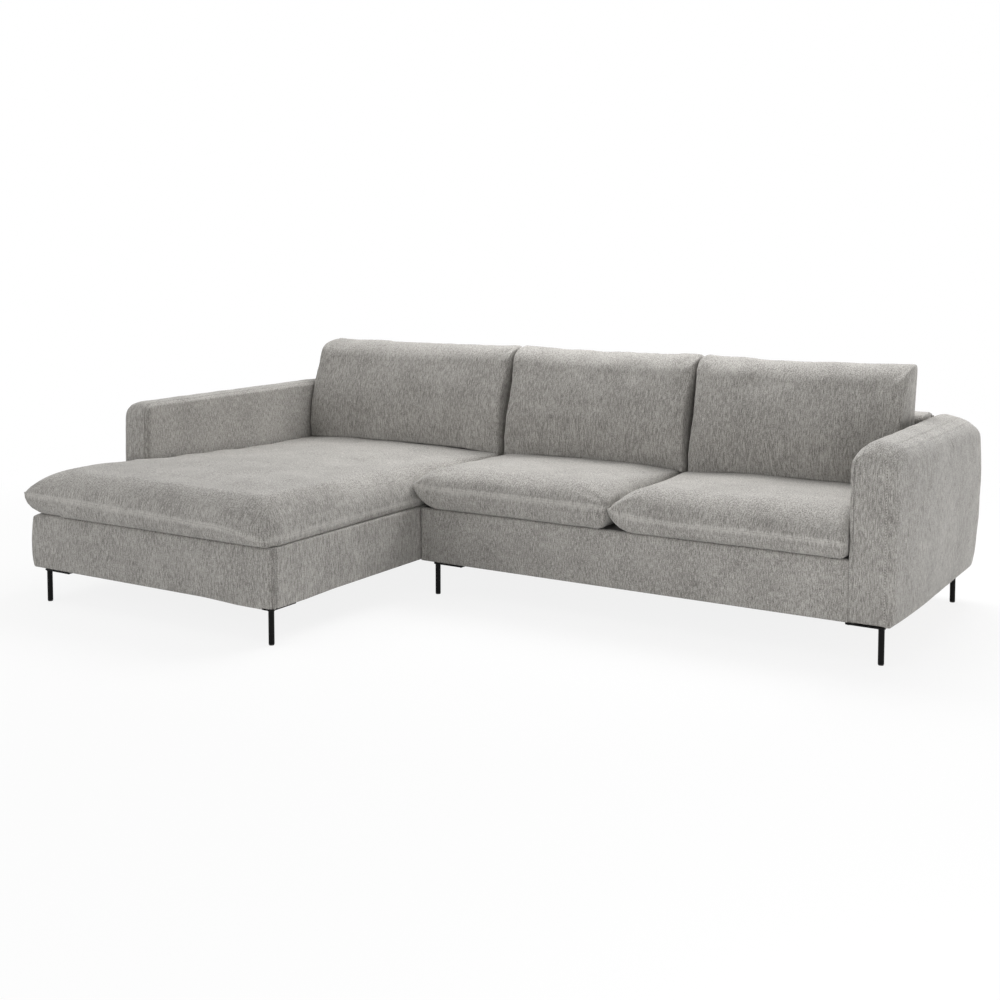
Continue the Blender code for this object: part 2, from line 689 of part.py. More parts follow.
def back_cushion(name, left, right, parent):
    """A soft pillow that stands on the seat, leans on the back, and thins towards its top and its sides."""
    levels = (0.0, 0.16, 0.42, 0.68, 0.90, 1.0)
    low = Vector((left, 0.0, 0.0))
    high = Vector((right, 1.0, 1.0))
    bm = cube_mesh(low, high, Vector((0.0, 0.0, 0.0)))
    side = (right - left) * 0.07
    loops = {0: [left + side, (left + right) / 2, right - side], 1: [0.5], 2: levels[1:-1]}
    for axis, places in loops.items():
        for place in places:
            normal = Vector((0.0, 0.0, 0.0))
            normal[axis] = 1.0
            geometry = bm.verts[:] + bm.edges[:] + bm.faces[:]
            bmesh.ops.bisect_plane(bm, geom=geometry, dist=GAP / 10, plane_co=normal * place, plane_no=normal)
    for vert in bm.verts:
        x, share, height = vert.co
        front, rear = back_profile(height)
        on_side = close_to(x, left) or close_to(x, right)
        if on_side:
            seam = rear - (rear - front) * 0.42
            front = seam + (front - seam) * BACK_CUSHION_SIDE_SHARE
            rear = seam + (rear - seam) * BACK_CUSHION_SIDE_SHARE
        vert.co.y = front + (rear - front) * share
        rise = BACK_CUSHION_HEIGHT * height
        if close_to(height, 1.0):
            on_seam = close_to(share, 0.5)
            rise += 0.010 if on_seam else -0.012
        if on_side and not close_to(share, 0.5):
            vert.co.x += side * 0.22 if close_to(x, left) else -side * 0.22
        vert.co.z = BACK_CUSHION_BOTTOM + rise
    cover = object_of(f"{name}_cover", bm, (0.0, 0.0, 0.0), parent, FABRIC, True)
    subdivide(cover)
    depth_middle = BACK_CUSHION_REAR - BACK_CUSHION_BOTTOM_DEPTH / 2
    low = Vector((left + BACK_CORE_INSET, depth_middle - BACK_CORE_DEPTH / 2, BACK_CUSHION_BOTTOM + BORDER * 2))
    top = BACK_CUSHION_BOTTOM + BACK_CUSHION_HEIGHT - BACK_CORE_INSET
    high = Vector((right - BACK_CORE_INSET, depth_middle + BACK_CORE_DEPTH / 2, top))
    box(f"{name}_core", low, high, parent, FOAM)
    room = Vector((GAP, GAP, GAP))
    cut(cover, box(f"{name}_core_room", low - room, high + room, parent, None))
    middle_x = (left + right) / 2
    slot_low = (middle_x - ZIP_LENGTH / 2, depth_middle - ZIP_SLOT / 2, BACK_CUSHION_BOTTOM - BORDER)
    slot_high = (middle_x + ZIP_LENGTH / 2, depth_middle + ZIP_SLOT / 2, low.z + BORDER)
    cut(cover, box(f"{name}_zip_slot", slot_low, slot_high, parent, None))


def make_back_cushions():
    middle_x = (SEATER_LEFT + RIGHT_ARM_INNER) / 2
    half = CUSHION_GAP / 2
    back_cushion("chaise_back_cushion", LEFT_ARM_INNER + half, CHAISE_RIGHT - half, CHAISE)
    back_cushion("left_back_cushion", SEATER_LEFT + half, middle_x - half, SEATER)
    back_cushion("right_back_cushion", middle_x + half, RIGHT_ARM_INNER - half, SEATER)


# Legs: a steel tube welded under a corner plate, with a plastic glide plugged into it


def leg_mesh_object(name, hand, place, turn, parent):
    top = BASE_BOTTOM - GAP
    under_plate = top - PLATE_THICKNESS
    sides = sorted((-TUBE_EDGE * hand, (PLATE_WIDTH - TUBE_EDGE) * hand))
    low = Vector((-TUBE_EDGE, sides[0], under_plate))
    high = Vector((PLATE_LENGTH - TUBE_EDGE, sides[1], top))
    bm = cube_mesh(low, high, Vector((0.0, 0.0, 0.0)))
    corners = [edge for edge in bm.edges if edge.verts[0].co.xy == edge.verts[1].co.xy]
    bmesh.ops.bevel(bm, geom=corners, offset=PLATE_CORNER, segments=2, profile=0.5, affect="EDGES")
    leg = object_of(name, bm, (*place, 0.0), parent, BLACK_METAL)
    tube_top = top - PLATE_THICKNESS / 2
    tube_bottom = GLIDE_FLANGE + GAP
    tube = cylinder_mesh(TUBE_RADIUS, tube_bottom, tube_top)
    bore = cylinder_mesh(TUBE_RADIUS - TUBE_WALL, tube_bottom - BORDER, under_plate - GAP)
    tube_cutter = object_of(f"{name}_tube", tube, (*place, 0.0), parent, None)
    bore_cutter = object_of(f"{name}_bore", bore, (*place, 0.0), parent, None)
    cut(leg, tube_cutter, "UNION")
    cut(leg, bore_cutter)
    for piece in (leg, tube_cutter, bore_cutter):
        piece.rotation_euler.z = turn


def glide(name, place, parent):
    bm = cylinder_mesh(TUBE_RADIUS, 0.0, GLIDE_FLANGE, tip=TUBE_RADIUS - 0.0012)
    made = object_of(name, bm, (*place, 0.0), parent, BLACK_PLASTIC)
    stem = cylinder_mesh(TUBE_RADIUS - TUBE_WALL - GAP, GLIDE_FLANGE / 2, GLIDE_FLANGE + GLIDE_STEM)
    cut(made, object_of(f"{name}_stem", stem, (*place, 0.0), parent, None), "UNION")


def make_legs():
    chaise_front = CHAISE_FRONT + FRONT_LEG_INSET
    seater_front = SEATER_FRONT + FRONT_LEG_INSET
    rear = REAR - REAR_LEG_INSET
    left = CHAISE_LEFT + CHAISE_LEFT_LEG_INSET
    quarter = math.pi / 2
    legs = (
        ("chaise_front_left", 1, (left, chaise_front), 0.0, CHAISE),
        ("chaise_front_right", 1, (CHAISE_RIGHT - CHAISE_RIGHT_LEG_INSET, chaise_front), quarter, CHAISE),
        ("chaise_rear_left", -1, (left, rear), 0.0, CHAISE),
        ("chaise_rear_right", 1, (CHAISE_RIGHT - SEATER_LEFT_LEG_INSET, rear), 2 * quarter, CHAISE),
        ("seater_front_left", 1, (SEATER_LEFT + SEATER_LEFT_LEG_INSET, seater_front), 0.0, SEATER),
        ("seater_front_right", -1, (SEATER_RIGHT - SEATER_RIGHT_LEG_INSET, seater_front), 2 * quarter, SEATER),
        ("seater_rear_left", -1, (SEATER_LEFT + SEATER_LEFT_LEG_INSET, rear), 0.0, SEATER),
        ("seater_rear_right", 1, (SEATER_RIGHT - SEATER_RIGHT_LEG_INSET, rear), 2 * quarter, SEATER),
    )
    for name, hand, place, turn, parent in legs:
        leg_mesh_object(f"{name}_leg", hand, place, turn, parent)
        glide(f"{name}_glide", place, parent)


# Module links: a pin plate under the two-seat module drops into a tongue under the chaise


def make_link(name, y):
    top = BASE_BOTTOM - GAP
    plate_bottom = top - LINK_PLATE
    tongue_top = plate_bottom - GAP
    front = y - LINK_WIDTH / 2
    rear = y + LINK_WIDTH / 2
    pin_x = SEATER_LEFT + LINK_REACH / 2
    pin_low = (SEATER_LEFT, front, plate_bottom)
    pin_high = (SEATER_LEFT + LINK_REACH, rear, top)
    pin_plate = box(f"{name}_link_pin", pin_low, pin_high, SEATER, ZINC)
    overlap = LINK_PLATE / 2
    pin = cylinder_mesh(PIN_RADIUS, plate_bottom - PIN_LENGTH, plate_bottom + overlap, (pin_x, y), PIN_RADIUS * 0.7)
    cut(pin_plate, object_of(f"{name}_pin_shank", pin, (0.0, 0.0, 0.0), SEATER, None), "UNION")
    tongue_bottom = tongue_top - LINK_PLATE
    low = (CHAISE_RIGHT - LINK_REACH, front, tongue_bottom)
    high = (SEATER_LEFT + LINK_REACH, rear, tongue_top)
    socket = box(f"{name}_link_socket", low, high, CHAISE, ZINC)
    pad_low = (CHAISE_RIGHT - LINK_REACH, front, tongue_bottom + overlap)
    pad_high = (CHAISE_RIGHT - GAP, rear, top)
    cut(socket, box(f"{name}_socket_pad", pad_low, pad_high, CHAISE, None), "UNION")
    hole = cylinder_mesh(PIN_RADIUS + PIN_CLEARANCE, tongue_bottom - LINK_PLATE, tongue_top + overlap / 2, (pin_x, y))
    cut(socket, object_of(f"{name}_socket_hole", hole, (0.0, 0.0, 0.0), CHAISE, None))


def make_links():
    make_link("front", SEATER_FRONT + FRONT_LINK_FROM_FRONT)
    make_link("rear", REAR - REAR_LINK_FROM_BACK)


def centre_over_origin():
    """Shifts the whole sofa so that the middle of its outline stands over the origin, with its glides on the floor."""
    graph = bpy.context.evaluated_depsgraph_get()
    places = []
    for piece in PARTS.objects:
        if piece.type == "MESH":
            shaped = piece.evaluated_get(graph)
            mesh = shaped.to_mesh()
            places += [shaped.matrix_world @ vert.co for vert in mesh.vertices]
            shaped.to_mesh_clear()
    for axis in (0, 1):
        line = [place[axis] for place in places]
        ORIGIN.location[axis] = -(min(line) + max(line)) / 2


make_chaise_frame()
make_seater_frame()
make_chaise_deck()
make_seater_deck()
make_borders()
make_arms_and_backs()
make_seat_cushions()
make_back_cushions()
make_legs()
make_links()
centre_over_origin()
print("layout plane and front line lie at", ORIGIN.location.x, ORIGIN.location.y)
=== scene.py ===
"""Corner sofa in grey chenille: a chaise linked to a two-seat module, with loose cushions and tube legs.

Metres, +Z up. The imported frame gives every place; cloth, padding, stitching, wood and metal are made here.
"""

import math

import bmesh
import bpy
import numpy as np
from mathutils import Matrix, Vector


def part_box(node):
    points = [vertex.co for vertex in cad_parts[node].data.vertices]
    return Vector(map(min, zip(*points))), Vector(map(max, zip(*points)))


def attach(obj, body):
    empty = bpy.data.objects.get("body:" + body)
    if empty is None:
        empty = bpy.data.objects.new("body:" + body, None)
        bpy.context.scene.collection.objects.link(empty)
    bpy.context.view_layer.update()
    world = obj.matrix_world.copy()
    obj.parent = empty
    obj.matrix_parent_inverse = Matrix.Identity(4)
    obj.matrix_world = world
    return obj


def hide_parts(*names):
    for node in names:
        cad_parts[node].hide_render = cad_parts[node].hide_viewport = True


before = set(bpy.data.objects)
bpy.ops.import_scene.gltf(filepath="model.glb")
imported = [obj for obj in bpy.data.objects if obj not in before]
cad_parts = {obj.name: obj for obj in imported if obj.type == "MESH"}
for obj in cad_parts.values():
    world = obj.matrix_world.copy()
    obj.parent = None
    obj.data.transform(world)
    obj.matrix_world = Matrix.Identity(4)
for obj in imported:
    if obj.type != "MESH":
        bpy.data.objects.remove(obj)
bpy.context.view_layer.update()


# Camera
# It stands at the front right of the sofa, a little above the arms, with a long lens held nearly level.
# The downward shift sets the sofa low in the square picture, as it is in the photograph.

camera = bpy.data.objects.new("camera", bpy.data.cameras.new("camera"))
bpy.context.scene.collection.objects.link(camera)
bpy.context.scene.camera = camera
camera.location = (2.6377, -4.2669, 1.3139)
camera.rotation_euler = (math.radians(86.037), 0.0, math.radians(31.7495))
camera.data.lens = 49.951
camera.data.sensor_width = 36.0
camera.data.shift_y = -0.1628
bpy.context.scene.view_settings.view_transform = "Standard"


# Base rails and inner boards
# The rails are sawn softwood 25 mm thick, butted and stapled at the corners. The arms and backs are boards
# with windows cut out to save weight. All of it is hidden by cloth except where a cover stops short.

WOOD_PALE = (0.66, 0.50, 0.31, 1.0)
WOOD_DARK = (0.42, 0.27, 0.14, 1.0)
RING_PITCH = (1.6, 34.0, 34.0)
FIBRE_PITCH = (14.0, 520.0, 520.0)
QUARTER = math.pi / 2


def feed(tree, socket, value):
    """Gives a socket a value, or links another node's output to it."""
    if isinstance(value, bpy.types.NodeSocket):
        tree.links.new(value, socket)
    else:
        socket.default_value = value


def add(tree, kind, inputs=None, **settings):
    """A shader node of this kind, with its inputs fed."""
    made = tree.nodes.new("ShaderNode" + kind)
    for name, value in settings.items():
        setattr(made, name, value)
    for name, value in (inputs or {}).items():
        feed(tree, made.inputs[name], value)
    return made


def noise(tree, place, scale, detail, **others):
    """A noise texture's value; others are its further sockets by name."""
    return add(tree, "TexNoise", {"Vector": place, "Scale": scale, "Detail": detail, **others}).outputs["Fac"]


def blend_of(tree, kind, share, first, second):
    """The output of a Mix node between two colours or two values."""
    made = add(tree, "Mix", data_type=kind)
    sockets = {socket.identifier: socket for socket in made.inputs}
    suffix = {"FLOAT": "Float", "RGBA": "Color"}[kind]
    for identifier, value in (("Factor_Float", share), (f"A_{suffix}", first), (f"B_{suffix}", second)):
        feed(tree, sockets[identifier], value)
    return next(socket for socket in made.outputs if socket.identifier == f"Result_{suffix}")


def finish_named(name, colour, roughness, metallic=0.0):
    """A new material with a Principled shader that holds its plain values."""
    made = bpy.data.materials.new(name)
    made.use_nodes = True
    shader = made.node_tree.nodes["Principled BSDF"]
    shader.inputs["Base Color"].default_value = (*colour, 1.0)
    shader.inputs["Roughness"].default_value = roughness
    shader.inputs["Metallic"].default_value = metallic
    return made, made.node_tree, shader


def effect(name, inputs, outputs):
    """A node group whose sockets are given as name and kind, with its input and output nodes."""
    group = bpy.data.node_groups.new(name, "ShaderNodeTree")
    for way, sockets in (("INPUT", inputs), ("OUTPUT", outputs)):
        for label, kind in sockets:
            group.interface.new_socket(label, in_out=way, socket_type=f"NodeSocket{kind}")
    return group, group.nodes.new("NodeGroupInput"), group.nodes.new("NodeGroupOutput")


def raise_surface(tree, shader, height, depth, strength=1.0):
    bump = add(tree, "Bump", {"Height": height, "Distance": depth, "Strength": strength})
    tree.links.new(bump.outputs["Normal"], shader.inputs["Normal"])


def sawn_grain():
    """Growth rings and saw marks for timber whose length lies along X."""
    group, given, out = effect("sawn_grain", [("Place", "Vector")], [("Share", "Float"), ("Height", "Float")])
    stretched = [
        add(group, "VectorMath", {0: given.outputs["Place"], 1: pitch}, operation="MULTIPLY").outputs[0]
        for pitch in (RING_PITCH, FIBRE_PITCH)
    ]
    rings = noise(group, stretched[0], 1.0, 4.0, Distortion=0.6)
    fibre = noise(group, stretched[1], 1.0, 2.0)
    share = blend_of(group, "FLOAT", 0.35, rings, fibre)
    sharp = add(group, "MapRange", {"Value": share, "From Min": 0.34, "From Max": 0.66})
    group.links.new(sharp.outputs[0], out.inputs["Share"])
    group.links.new(fibre, out.inputs["Height"])
    return group


SAWN_GRAIN = sawn_grain()


def timber(name, turn):
    """Timber whose grain is turned from X by this angle about the upright."""
    made, tree, shader = finish_named(name, WOOD_PALE[:3], 0.68)
    place = add(tree, "TexCoord")
    lie = add(tree, "Mapping", {"Vector": place.outputs["Object"], "Rotation": (0.0, 0.0, turn)})
    grain = add(tree, "Group", node_tree=SAWN_GRAIN)
    tree.links.new(lie.outputs[0], grain.inputs["Place"])
    colour = blend_of(tree, "RGBA", grain.outputs["Share"], WOOD_DARK, WOOD_PALE)
    tree.links.new(colour, shader.inputs["Base Color"])
    raise_surface(tree, shader, grain.outputs["Height"], 0.0004)
    return made


def dress(names, material):
    """Gives frame pieces this material in place of the plain one."""
    for name in names:
        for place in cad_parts[name].material_slots:
            place.material = material


across_rails = ["chaise_frame_front_rail", "chaise_frame_rear_rail", "chaise_frame_step_rail"]
dress(across_rails + ["seater_frame_front_rail", "seater_frame_rear_rail"], timber("rail_wood_across", 0.0))
deep_rails = ["chaise_frame_right_rail", "chaise_frame_left_front_rail", "chaise_frame_left_rail"]
dress(
    deep_rails + ["seater_frame_left_rail", "seater_frame_right_rail"],
    timber("rail_wood_front_to_back", QUARTER),
)
dress(["chaise_back_frame", "seater_back_frame"], timber("back_board_wood", 0.0))
dress(["left_arm_frame", "right_arm_frame"], timber("arm_board_wood", QUARTER))


# Elastic webbing
# Black ribbed elastic 70 mm wide is stretched both ways over the rails and stapled down. Each strap goes
# over one and under the next, and together they carry the seat.

STRAP_WIDTH = 0.070
STRAP_THICKNESS = 0.0011
STRAP_LIFT = 0.0006
STRAP_STEP = 0.012


def patterned(name, plain, roughness, shades, pattern, depth):
    """A finish whose colour runs between two shades; pattern makes the second one's share, and the height."""
    made, tree, shader = finish_named(name, plain, roughness)
    share, height = pattern(tree, add(tree, "TexCoord").outputs["Object"])
    tree.links.new(blend_of(tree, "RGBA", share, *shades), shader.inputs["Base Color"])
    raise_surface(tree, shader, height, depth)
    return made


def ribs(tree, place):
    wave = {"Vector": place, "Scale": 160.0, "Distortion": 0.4}
    rib = add(tree, "TexWave", wave, bands_direction="DIAGONAL").outputs["Fac"]
    share = blend_of(tree, "FLOAT", 0.4, rib, noise(tree, place, 900.0, 1.0))
    return share, share


ELASTIC = patterned(
    "elastic_black", (0.035, 0.033, 0.032), 0.82,
    ((0.018, 0.017, 0.017, 1.0), (0.065, 0.062, 0.060, 1.0)), ribs, 0.0005,
)


def piece_of(name, bm, finish, body, smooth=True):
    """Turns a mesh into a named piece that rides on a body and takes the given finish."""
    bmesh.ops.recalc_face_normals(bm, faces=bm.faces[:])
    mesh = bpy.data.meshes.new(name)
    bm.to_mesh(mesh)
    bm.free()
    if smooth:
        mesh.shade_smooth()
    mesh.materials.append(finish)
    made = bpy.data.objects.new(name, mesh)
    bpy.context.scene.collection.objects.link(made)
    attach(made, body)
    return made


def strap_lines(start, end, count):
    """The left edges of evenly spaced straps, the first and last flush with the ends."""
    pitch = (end - start - STRAP_WIDTH) / (count - 1)
    return [start + pitch * step for step in range(count)]


def join_rows(bm, rows):
    """Faces between rows of two points, which make a strip."""
    for one, two in zip(rows, rows[1:]):
        bm.faces.new((one[0], one[1], two[1], two[0]))


def strap(bm, along, start, end, edge, crossed, first):
    """One strap from start to end along an axis, rising over and dipping under the straps that cross it."""
    steps = max(2, round((end - start) / STRAP_STEP))
    rows = []
    for step in range(steps + 1):
        place = start + (end - start) * step / steps
        lift = 0.0
        for index, line in enumerate(crossed):
            middle = line + STRAP_WIDTH / 2
            near = max(0.0, 1.0 - abs(place - middle) / (STRAP_WIDTH * 0.75))
            side = 1.0 if (index + first) % 2 else -1.0
            lift += side * min(1.0, near * 2.0) * STRAP_LIFT
        row = []
        for across in (0.0, STRAP_WIDTH):
            corner = [edge + across, edge + across, strap_level + lift]
            corner[along] = place
            row.append(bm.verts.new(corner))
        rows.append(row)
    join_rows(bm, rows)


def thicken(piece, thickness, offset=0.0):
    made = piece.modifiers.new("cloth_thickness", "SOLIDIFY")
    made.thickness = thickness
    made.offset = offset


def webbing(side, runs):
    """runs holds each strap's axis, start, end, edge, the straps it crosses and which way it sets out."""
    bm = bmesh.new()
    for run in runs:
        strap(bm, *run)
    made = piece_of(f"{side}_webbing_straps", bm, ELASTIC, f"{side}_module")
    thicken(made, STRAP_THICKNESS)
    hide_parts(f"{side}_webbing")


low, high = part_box("seater_webbing")
strap_level = (low.z + high.z) / 2
across_lines = strap_lines(low.y, high.y, 4)
deep_lines = strap_lines(low.x, high.x, 8)
runs = [(1, low.y, high.y, line, across_lines, index) for index, line in enumerate(deep_lines)]
runs += [(0, low.x, high.x, line, deep_lines, index + 1) for index, line in enumerate(across_lines)]
webbing("seater", runs)

low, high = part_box("chaise_webbing")
notch_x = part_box("chaise_frame_left_rail")[0].x
notch_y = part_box("chaise_frame_step_rail")[1].y
front_lines = strap_lines(low.y, notch_y, 3)
rear_lines = strap_lines(notch_y + 2 * STRAP_WIDTH, high.y, 5)
deep_lines = strap_lines(notch_x, high.x, 5)
runs = [(1, low.y, notch_y, low.x, front_lines, 1)]
runs += [(1, low.y, high.y, line, front_lines + rear_lines, index) for index, line in enumerate(deep_lines)]
runs += [(0, low.x, high.x, line, [low.x] + deep_lines, index) for index, line in enumerate(front_lines)]
runs += [(0, notch_x, high.x, line, deep_lines, index) for index, line in enumerate(rear_lines)]
webbing("chaise", runs)


# Dust covers
# Thin black non-woven cloth closes each module from below. It is pulled flat and stapled to the rails every
# 60 mm or so, and sags a little between them.

DUST_SAG = 0.0005
DUST_STEP = 0.04
STAPLE_PITCH = 0.06
STAPLE_INSET = 0.009
STAPLE = (0.0100, 0.0011, 0.0006)


def bonded_dots(tree, place):
    dots = add(tree, "TexVoronoi", {"Vector": place, "Scale": 420.0}).outputs["Distance"]
    share = blend_of(tree, "FLOAT", 0.5, dots, noise(tree, place, 260.0, 4.0))
    return share, share


DUST_CLOTH = patterned(
    "dust_cloth_black", (0.020, 0.020, 0.021), 0.92,
    ((0.010, 0.010, 0.011, 1.0), (0.042, 0.042, 0.044, 1.0)), bonded_dots, 0.0003,
)


def even_lines(start, end, step):
    count = max(1, round((end - start) / step))
    return [start + (end - start) * index / count for index in range(count + 1)]


def flat_net(xs, ys, level, absent):
    """A net of cloth laid level, with the cells that absent names left out."""
    bm = bmesh.new()
    points = {}

    def point(i, j):
        if (i, j) not in points:
            points[i, j] = bm.verts.new((xs[i], ys[j], level))
        return points[i, j]

    for i in range(len(xs) - 1):
        for j in range(len(ys) - 1):
            if not absent((xs[i] + xs[i + 1]) / 2, (ys[j] + ys[j + 1]) / 2):
                bm.faces.new((point(i, j), point(i + 1, j), point(i + 1, j + 1), point(i, j + 1)))
    return bm


def staple(bm, place, turned):
    """The flat crown of a wire staple, seen from below."""
    length, width, height = STAPLE
    made = bmesh.ops.create_cube(bm, size=1.0)["verts"]
    size = Vector((length, width, height) if turned else (width, length, height))
    bmesh.ops.scale(bm, vec=size, verts=made)
    bmesh.ops.translate(bm, vec=place, verts=made)


def galvanised():
    made, tree, shader = finish_named("zinc_plate", (0.56, 0.56, 0.57), 0.34, 0.9)
    place = add(tree, "TexCoord").outputs["Object"]
    spangle = add(tree, "TexVoronoi", {"Vector": place, "Scale": 190.0}).outputs["Color"]
    haze = noise(tree, place, 60.0, 3.0)
    colour = blend_of(tree, "RGBA", spangle, (0.46, 0.47, 0.48, 1.0), (0.66, 0.66, 0.66, 1.0))
    tree.links.new(colour, shader.inputs["Base Color"])
    rough = add(tree, "MapRange", {"Value": haze, "To Min": 0.26, "To Max": 0.46})
    tree.links.new(rough.outputs[0], shader.inputs["Roughness"])
    return made


ZINC = galvanised()


def dust_cover(side, absent):
    low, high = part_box(f"{side}_dust_cover")
    xs, ys = even_lines(low.x, high.x, DUST_STEP), even_lines(low.y, high.y, DUST_STEP)
    bm = flat_net(xs, ys, low.z + 0.0007, absent)
    for vert in bm.verts:
        inside = min(vert.co.x - low.x, high.x - vert.co.x, vert.co.y - low.y, high.y - vert.co.y)
        vert.co.z -= DUST_SAG * min(1.0, max(0.0, inside - 0.025) / 0.2)
    made = piece_of(f"{side}_dust_cloth", bm, DUST_CLOTH, f"{side}_module")
    thicken(made, 0.0005)
    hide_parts(f"{side}_dust_cover")
    bm = bmesh.new()
    for x in even_lines(low.x + 0.03, high.x - 0.03, STAPLE_PITCH):
        for y in (low.y + STAPLE_INSET, high.y - STAPLE_INSET):
            if not absent(x, y):
                staple(bm, (x, y, low.z + 0.0001), True)
    for y in even_lines(low.y + 0.03, high.y - 0.03, STAPLE_PITCH):
        for x in (low.x + STAPLE_INSET, high.x - STAPLE_INSET):
            if not absent(x, y):
                staple(bm, (x, y, low.z + 0.0001), False)
    piece_of(f"{side}_dust_cloth_staples", bm, ZINC, f"{side}_module", smooth=False)


def nowhere(x, y):
    return False


def under_arm(x, y):
    return x < notch_x and y > notch_y


low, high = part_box("seater_dust_cover")
dust_cover(
    "seater",
    nowhere,
)
low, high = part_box("chaise_dust_cover")
dust_cover(
    "chaise",
    under_arm,
)


# Upholstered base
# Chenille over a thin pad wraps the front and the open sides of each base. The panels are sewn at corners,
# turned over the rail at the top and stapled under it, so their top and bottom edges are soft.

CLOTH_DARK = (0.165, 0.156, 0.145, 1.0)
CLOTH_MIDDLE = (0.325, 0.312, 0.291, 1.0)
CLOTH_LIGHT = (0.520, 0.503, 0.474, 1.0)
# How far the seam attribute's painted highlight and painted shade move the cloth's colour.
SEAM_PAINTED_LIGHT = 0.42


def chenille_threads():
    """Slubbed chenille: short upright threads on upright faces and a more even pile on level ones, plus
    painted seam highlight and shade.
    """
    group, given, out = effect(
        "chenille_threads",
        [("Place", "Vector"), ("Facing", "Vector"), ("Seam", "Float")],
        [("Share", "Float"), ("Height", "Float")],
    )
    place = given.outputs["Place"]
    parts = add(group, "SeparateXYZ", {0: given.outputs["Facing"]})

    def facing(axis, start, full):
        size = add(group, "Math", {0: parts.outputs[axis]}, operation="ABSOLUTE").outputs[0]
        return add(group, "MapRange", {"Value": size, "From Min": start, "From Max": full}).outputs[0]

    side = facing("X", 0.66, 0.76)
    level = facing("Z", 0.30, 0.95)

    def drawn(across, along, detail):
        """Noise drawn out along the thread: up or back on most faces, up on those that face a side."""
        found = []
        for stretch in ((across, along, along), (along, across, along)):
            pulled = add(group, "VectorMath", {0: place, 1: stretch}, operation="MULTIPLY").outputs[0]
            found.append(noise(group, pulled, 1.0, detail, Roughness=0.6))
        return blend_of(group, "FLOAT", side, *found)

    thread = drawn(390.0, 48.0, 1.0)
    slub = drawn(440.0, 290.0, 2.0)
    tuft = noise(group, place, 270.0, 2.0)
    pile = noise(group, place, 7.0, 4.0, Roughness=0.6)
    woven = blend_of(group, "FLOAT", blend_of(group, "FLOAT", level, 0.20, 0.90), thread, tuft)
    slubbed = blend_of(group, "FLOAT", blend_of(group, "FLOAT", level, 0.46, 0.20), woven, slub)
    brushed = blend_of(group, "FLOAT", 0.12, slubbed, pile)
    share = add(group, "MapRange", {"Value": brushed, "From Min": 0.39, "From Max": 0.61}).outputs[0]
    # Painted light: the seam attribute lightens the colour on proud stitching and darkens it in seam creases
    # and gaps.
    marked = {0: given.outputs["Seam"], 1: SEAM_PAINTED_LIGHT, 2: share}
    seam_light_painted = add(group, "Math", marked, operation="MULTIPLY_ADD", use_clamp=True)
    group.links.new(seam_light_painted.outputs[0], out.inputs["Share"])
    group.links.new(slubbed, out.inputs["Height"])
    return group


CHENILLE_THREADS = chenille_threads()


def chenille():
    made, tree, shader = finish_named("chenille_grey", CLOTH_MIDDLE[:3], 0.90)
    shader.inputs["Sheen Weight"].default_value = 0.18
    shader.inputs["Sheen Roughness"].default_value = 0.55
    shader.inputs["Specular IOR Level"].default_value = 0.25
    place = add(tree, "TexCoord")
    # The seam attribute carries painted highlight and painted shade along the seams.
    seam = add(tree, "Attribute", attribute_name="seam")
    cloth = add(tree, "Group", node_tree=CHENILLE_THREADS)
    tree.links.new(place.outputs["Object"], cloth.inputs["Place"])
    tree.links.new(place.outputs["Normal"], cloth.inputs["Facing"])
    tree.links.new(seam.outputs["Fac"], cloth.inputs["Seam"])
    ramp = add(tree, "ValToRGB", {"Fac": cloth.outputs["Share"]})
    ramp.color_ramp.elements[0].color = CLOTH_DARK
    ramp.color_ramp.elements[1].color = CLOTH_LIGHT
    ramp.color_ramp.elements.new(0.5).color = CLOTH_MIDDLE
    tree.links.new(ramp.outputs["Color"], shader.inputs["Base Color"])
    raise_surface(tree, shader, cloth.outputs["Height"], 0.0009, 0.8)
    return made


CHENILLE = chenille()
TURN_LINES = (0.0, 0.0022, 0.0048, 0.0080, 0.0120, 0.0170, 0.0240)


def net_lines(start, end, step, turn_lines=TURN_LINES):
    """Net lines across a padded face: close together where the cloth turns at both ends, even between."""
    turns = [offset for offset in turn_lines if offset < (end - start) * 0.45]
    middle = even_lines(start + turns[-1], end - turns[-1], step)
    before = [start + offset for offset in turns[:-1]]
    return before + middle + [end - offset for offset in reversed(turns[:-1])]


def padded_skin(lines, open_below=False):
    """The skin of a box as a fine net of cloth, from its net lines along each axis."""
    bm = bmesh.new()
    points = {}

    def point(key):
        if key not in points:
            points[key] = bm.verts.new([lines[axis][key[axis]] for axis in range(3)])
        return points[key]

    for axis in range(3):
        u, v = [other for other in range(3) if other != axis]
        for end in (0, len(lines[axis]) - 1):
            if axis == 2 and end == 0 and open_below:
                continue
            for iu in range(len(lines[u]) - 1):
                for iv in range(len(lines[v]) - 1):
                    corners = []
                    for du, dv in ((0, 0), (1, 0), (1, 1), (0, 1)):
                        key = [end, end, end]
                        key[u] = iu + du
                        key[v] = iv + dv
                        corners.append(point(tuple(key)))
                    bm.faces.new(corners)
    return bm


def points_of(mesh, kind="co"):
    """The mesh's points, or with "normal" which way each of them faces."""
    flat = np.empty(len(mesh.vertices) * 3)
    mesh.vertices.foreach_get(kind, flat)
    return flat.reshape(-1, 3)


def set_points(mesh, points):
    mesh.vertices.foreach_set("co", points.ravel())
    mesh.update()


def push(mesh, points, amount):
    """Moves each point along its normal by its amount, and keeps points in step with the mesh."""
    set_points(mesh, points)
    points += points_of(mesh, "normal") * amount[:, None]
    set_points(mesh, points)


